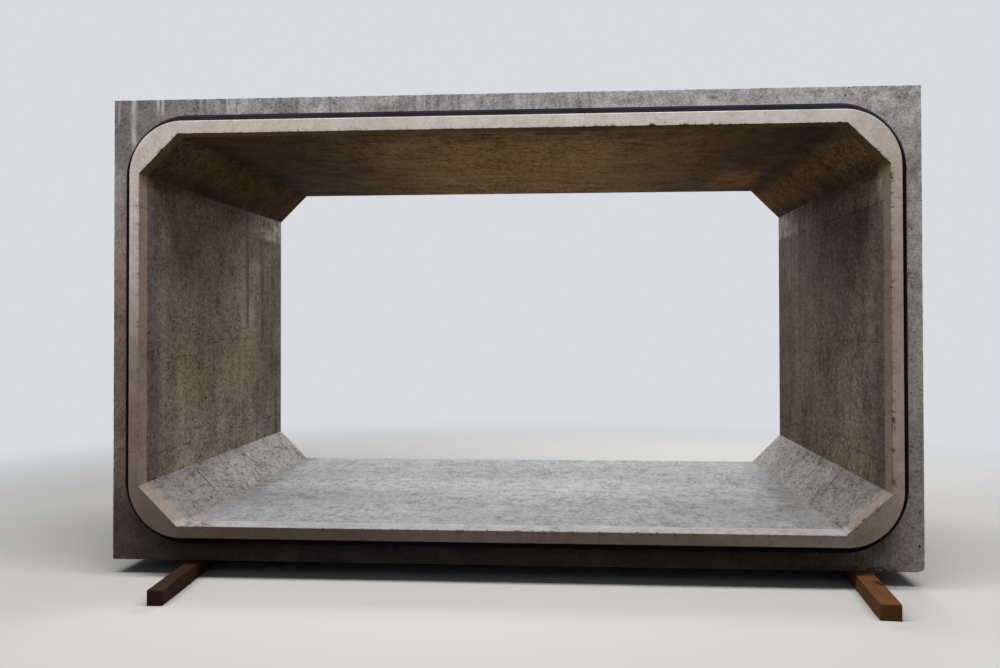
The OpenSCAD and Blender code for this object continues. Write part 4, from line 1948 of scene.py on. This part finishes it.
@dataclass(frozen=True)
class TimberFinish:
    """Sawn softwood, weathered, read from each timber's own grain coordinates.

    Attributes:
        name: Name of the material.
        early: Colour of the wood that grew early in the year.
        late: Colour of the wood that grew late.
        knot: Colour of the knots.
        grey: Colour of its weathered places.
        marks: Small marks at places of their own.
        year: Width of a year ring.
    """

    name: str = "sawn_softwood"
    # The default colours, which the right timbers use, are darkened to their look under the unit:
    # partly the wood's own colour, partly painted shade.
    early: Colour = tone(118, 79, 45)
    late: Colour = tone(58, 34, 17)
    knot: Colour = tone(40, 24, 22)
    grey: Colour = tone(96, 72, 50)
    marks: tuple[Mark, ...] = ()
    year: float = 0.006

    def build(self) -> bpy.types.Material:
        """Builds the material.

        Formula: the year rings are the distance from a pith line along the timber, bent by
        slow noise. Fibres, weathered clouds, knots and marks follow in this order.

        Returns:
            The material.
        """
        g = Graph(self.name)
        grain = g.attribute("grain").outputs["Vector"]
        slow = g.noise(0.9, 3.0, 0.5, g.stretched((6.0, 1.0, 6.0), source=grain))
        split = g.split(grain)
        bend = g.times(slow, 0.05)
        across = g.math("ADD", split.outputs["X"], bend)
        height = g.math("ADD", split.outputs["Z"], bend)
        square = g.math("ADD", g.math("POWER", across, 2.0), g.math("POWER", height, 2.0))
        rings = g.math("FRACT", g.math("DIVIDE", g.math("SQRT", square), self.year))
        late = g.times(g.ramp(rings, 0.35, 0.9), g.ramp(rings, 1.0, 0.92))
        colour = g.mix(late, self.early, self.late)
        fibre = g.noise(0.004, 4.0, 0.7, g.stretched((1.0, 0.03, 1.0), source=grain))
        colour = g.mix(g.ramp(fibre, 0.4, 0.75, 0.0, 0.5), colour, self.late)
        weather = g.noise(0.2, 5.0, 0.6, grain)
        colour = g.mix(g.ramp(weather, 0.5, 0.75, 0.0, 0.6), colour, self.grey)
        knots = g.spots(0.33, 0.07, g.stretched((1.0, 0.7, 1.0), source=grain))
        colour = g.mix(g.times(knots, 0.9), colour, self.knot)
        for mark in self.marks:
            colour = mark.mix_in(g, colour)
        saw = g.noise(0.003, 2.0, 0.5, g.stretched((0.05, 1.0, 0.05), source=grain))
        normal = g.bump(fibre, 0.0008)
        normal = g.bump(saw, 0.0004, normal)
        rough = g.ramp(fibre, 0.3, 0.7, 0.78, 0.92)
        g.finish(colour, rough, normal, Specular_IOR_Level=0.15)
        return g.material


# Camera, light and floor


@dataclass(frozen=True)
class PhotoCamera:
    """The photograph's camera, found from the unit's own corners.

    Attributes:
        place: Where it stands.
        yaw: Its turn to the left, in radians.
        pitch: Its tilt upwards.
        roll: Its turn about the view.
        focal: Focal length in pixels of the picture.
        centre: Where the lens's axis meets the picture, from its middle, in pixels.
        width: The picture's width in pixels.
    """

    place: Place = (0.31280, -5.57827, 1.31636)
    yaw: float = 0.06844
    pitch: float = 0.01298
    roll: float = -0.00194
    focal: float = 882.70
    centre: tuple[float, float] = (6.38, -23.12)
    width: float = 1000.0

    def build(self) -> bpy.types.Object:
        """Makes the camera and gives it to the scene.

        Returns:
            The camera.
        """
        data = bpy.data.cameras.new("photo_camera")
        data.sensor_width = 36.0
        data.lens = self.focal * data.sensor_width / self.width
        data.shift_x = -self.centre[0] / self.width
        data.shift_y = self.centre[1] / self.width
        right = Vector((math.cos(self.yaw), math.sin(self.yaw), 0.0))
        level = math.cos(self.pitch)
        ahead = (-math.sin(self.yaw) * level, math.cos(self.yaw) * level, math.sin(self.pitch))
        ahead = Vector(ahead)
        up = right.cross(ahead)
        side = right * math.cos(self.roll) + up * math.sin(self.roll)
        top = up * math.cos(self.roll) - right * math.sin(self.roll)
        camera = bpy.data.objects.new("photo_camera", data)
        turned = Matrix((side, top, -ahead)).transposed().to_4x4()
        camera.matrix_world = Matrix.Translation(self.place) @ turned
        bpy.context.scene.collection.objects.link(camera)
        bpy.context.scene.camera = camera
        return camera


@dataclass(frozen=True)
class SoftBox:
    """One large soft lamp that looks at a point.

    Attributes:
        name: Name of the lamp.
        place: Where it hangs.
        target: The point.
        width: Its width.
        height: Its height.
        power: Its power in watts.
    """

    name: str
    place: Place
    target: Place
    width: float
    height: float
    power: float

    def build(self) -> None:
        """Makes the lamp."""
        data = bpy.data.lights.new(self.name, "AREA")
        data.shape, data.size, data.size_y = "RECTANGLE", self.width, self.height
        data.energy = self.power
        lamp = bpy.data.objects.new(self.name, data)
        lamp.location = self.place
        look = Vector(self.target) - Vector(self.place)
        lamp.rotation_euler = look.to_track_quat("-Z", "Y").to_euler()
        bpy.context.scene.collection.objects.link(lamp)


@dataclass(frozen=True)
class Studio:
    """A pale floor that fades into a plain backdrop, a dim even sky and soft lamps.

    Attributes:
        floor: The floor's colour in the picture.
        bounce: The floor's colour in the light that it throws back.
        backdrop: The background's colour in the picture.
        sky: Colour and level of the light from all sides.
        fade: Distances from the middle between which the floor fades into the backdrop.
        radius: The floor's radius.
        sides: Number of corners of the floor's rim.
        lamps: The lamps.
    """

    floor: Colour = tone(206, 204, 200)
    bounce: Colour = tone(108, 102, 94)
    backdrop: Colour = tone(216, 219, 223)
    sky: Colour = (0.15, 0.155, 0.165)
    fade: tuple[float, float] = (2.8, 6.5)
    radius: float = 60.0
    sides: int = 96
    lamps: tuple[SoftBox, ...] = (
        SoftBox("key", (-0.2, -2.25, 4.4), (-0.2, -1.25, 1.1), 9.0, 1.0, 280.0),
        SoftBox("rear", (1.4, 4.4, 4.4), (1.4, 0.0, 0.6), 6.5, 2.6, 336.0),
    )

    def pale_rays(self, tree: bpy.types.NodeTree) -> Socket:
        """Gives 1 on rays that show the background in the picture or in a reflection.

        Args:
            tree: The world's nodes.

        Returns:
            The number, 1 or 0.
        """
        path = tree.nodes.new("ShaderNodeLightPath")
        total = path.outputs["Is Camera Ray"]
        for label in ("Is Glossy Ray", "Is Transmission Ray"):
            node = tree.nodes.new("ShaderNodeMath")
            node.operation = "MAXIMUM"
            tree.links.new(total, node.inputs[0])
            tree.links.new(path.outputs[label], node.inputs[1])
            total = node.outputs[0]
        return total

    def build_world(self) -> None:
        """Makes a world that lights the object with the sky and shows the backdrop."""
        world = bpy.data.worlds.new("studio")
        world.use_nodes = True
        tree = world.node_tree
        tree.nodes.clear()
        mix = tree.nodes.new("ShaderNodeMixShader")
        tree.links.new(self.pale_rays(tree), mix.inputs[0])
        for place, colour in enumerate((self.sky, self.backdrop)):
            shader = tree.nodes.new("ShaderNodeBackground")
            shader.inputs["Color"].default_value = (*colour, 1.0)
            tree.links.new(shader.outputs[0], mix.inputs[1 + place])
        out = tree.nodes.new("ShaderNodeOutputWorld")
        tree.links.new(mix.outputs[0], out.inputs["Surface"])
        bpy.context.scene.world = world

    def build_floor(self) -> None:
        """Makes the floor, a round sheet whose paint fades to clear in the picture."""
        turn = np.linspace(0.0, 2.0 * math.pi, self.sides, endpoint=False)
        rim = np.stack([np.cos(turn), np.sin(turn), np.zeros_like(turn)], axis=-1)
        floor = make_object("studio_floor", rim * self.radius, [np.arange(self.sides)[None]])
        g = Graph("studio_floor_paint")
        reach = g.add("ShaderNodeVectorMath", {0: g.place}, operation="LENGTH")
        clear = g.ramp(reach.outputs["Value"], *self.fade)
        seen = self.pale_rays(g.tree)
        paint = g.add("ShaderNodeBsdfDiffuse", {"Color": g.mix(seen, self.bounce, self.floor)})
        gone = g.add("ShaderNodeBsdfTransparent")
        feeds = {0: g.times(clear, seen), 1: paint.outputs[0], 2: gone.outputs[0]}
        mix = g.add("ShaderNodeMixShader", feeds)
        g.add("ShaderNodeOutputMaterial", {"Surface": mix.outputs[0]})
        floor.data.materials.append(g.material)

    def build(self) -> None:
        """Makes the world, the floor and the lamps."""
        self.build_world()
        self.build_floor()
        for lamp in self.lamps:
            lamp.build()
        bpy.context.scene.view_settings.view_transform = "Standard"


BEARERS = (
    Bearer("bearer_front_left", -1, -1, 0.075, 0.450, 3.0, 1),
    Bearer("bearer_front_right", 1, -1, 0.095, 0.310, 5.0, 2),
    Bearer("bearer_rear_left", -1, 1, 0.075, 0.450, 3.0, 3),
    Bearer("bearer_rear_right", 1, 1, 0.095, 0.310, 5.0, 4),
)
KNOT = Mark((1.781, -1.235, 0.075), tone(34, 19, 19), 0.018, (1.790, -1.290, 0.075))
TIMBERS = {
    # The left timbers are painted much darker: painted shade.
    -1: TimberFinish(
        "softwood_painted_shade", tone(62, 40, 23), tone(34, 21, 12), tone(20, 14, 10), tone(46, 35, 26)
    ),
    1: TimberFinish(marks=(KNOT,)),
}


def main() -> None:
    """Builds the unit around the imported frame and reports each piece."""
    logging.basicConfig(level=logging.INFO, format="%(name)s: %(message)s")
    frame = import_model()
    PhotoCamera().build()
    sizes = UnitSizes.from_frame("box_unit")
    finishes = {zone: finish.build() for zone, finish in CONCRETE.items()}
    Casting(sizes).build(finishes)
    JointSeal(sizes).build(RubberFinish().build())
    timbers = {side: finish.build() for side, finish in TIMBERS.items()}
    for bearer in BEARERS:
        bearer.build(sizes, timbers[bearer.side])
    steel = SteelFinish().build()
    for name, node in frame["nodes"].items():
        if name.startswith("lifting_anchor"):
            node.material_slots[0].material = steel
            LOG.info("%s: forged steel", name)
    Studio().build()
    bpy.context.view_layer.update()


if __name__ == "__main__":
    main()
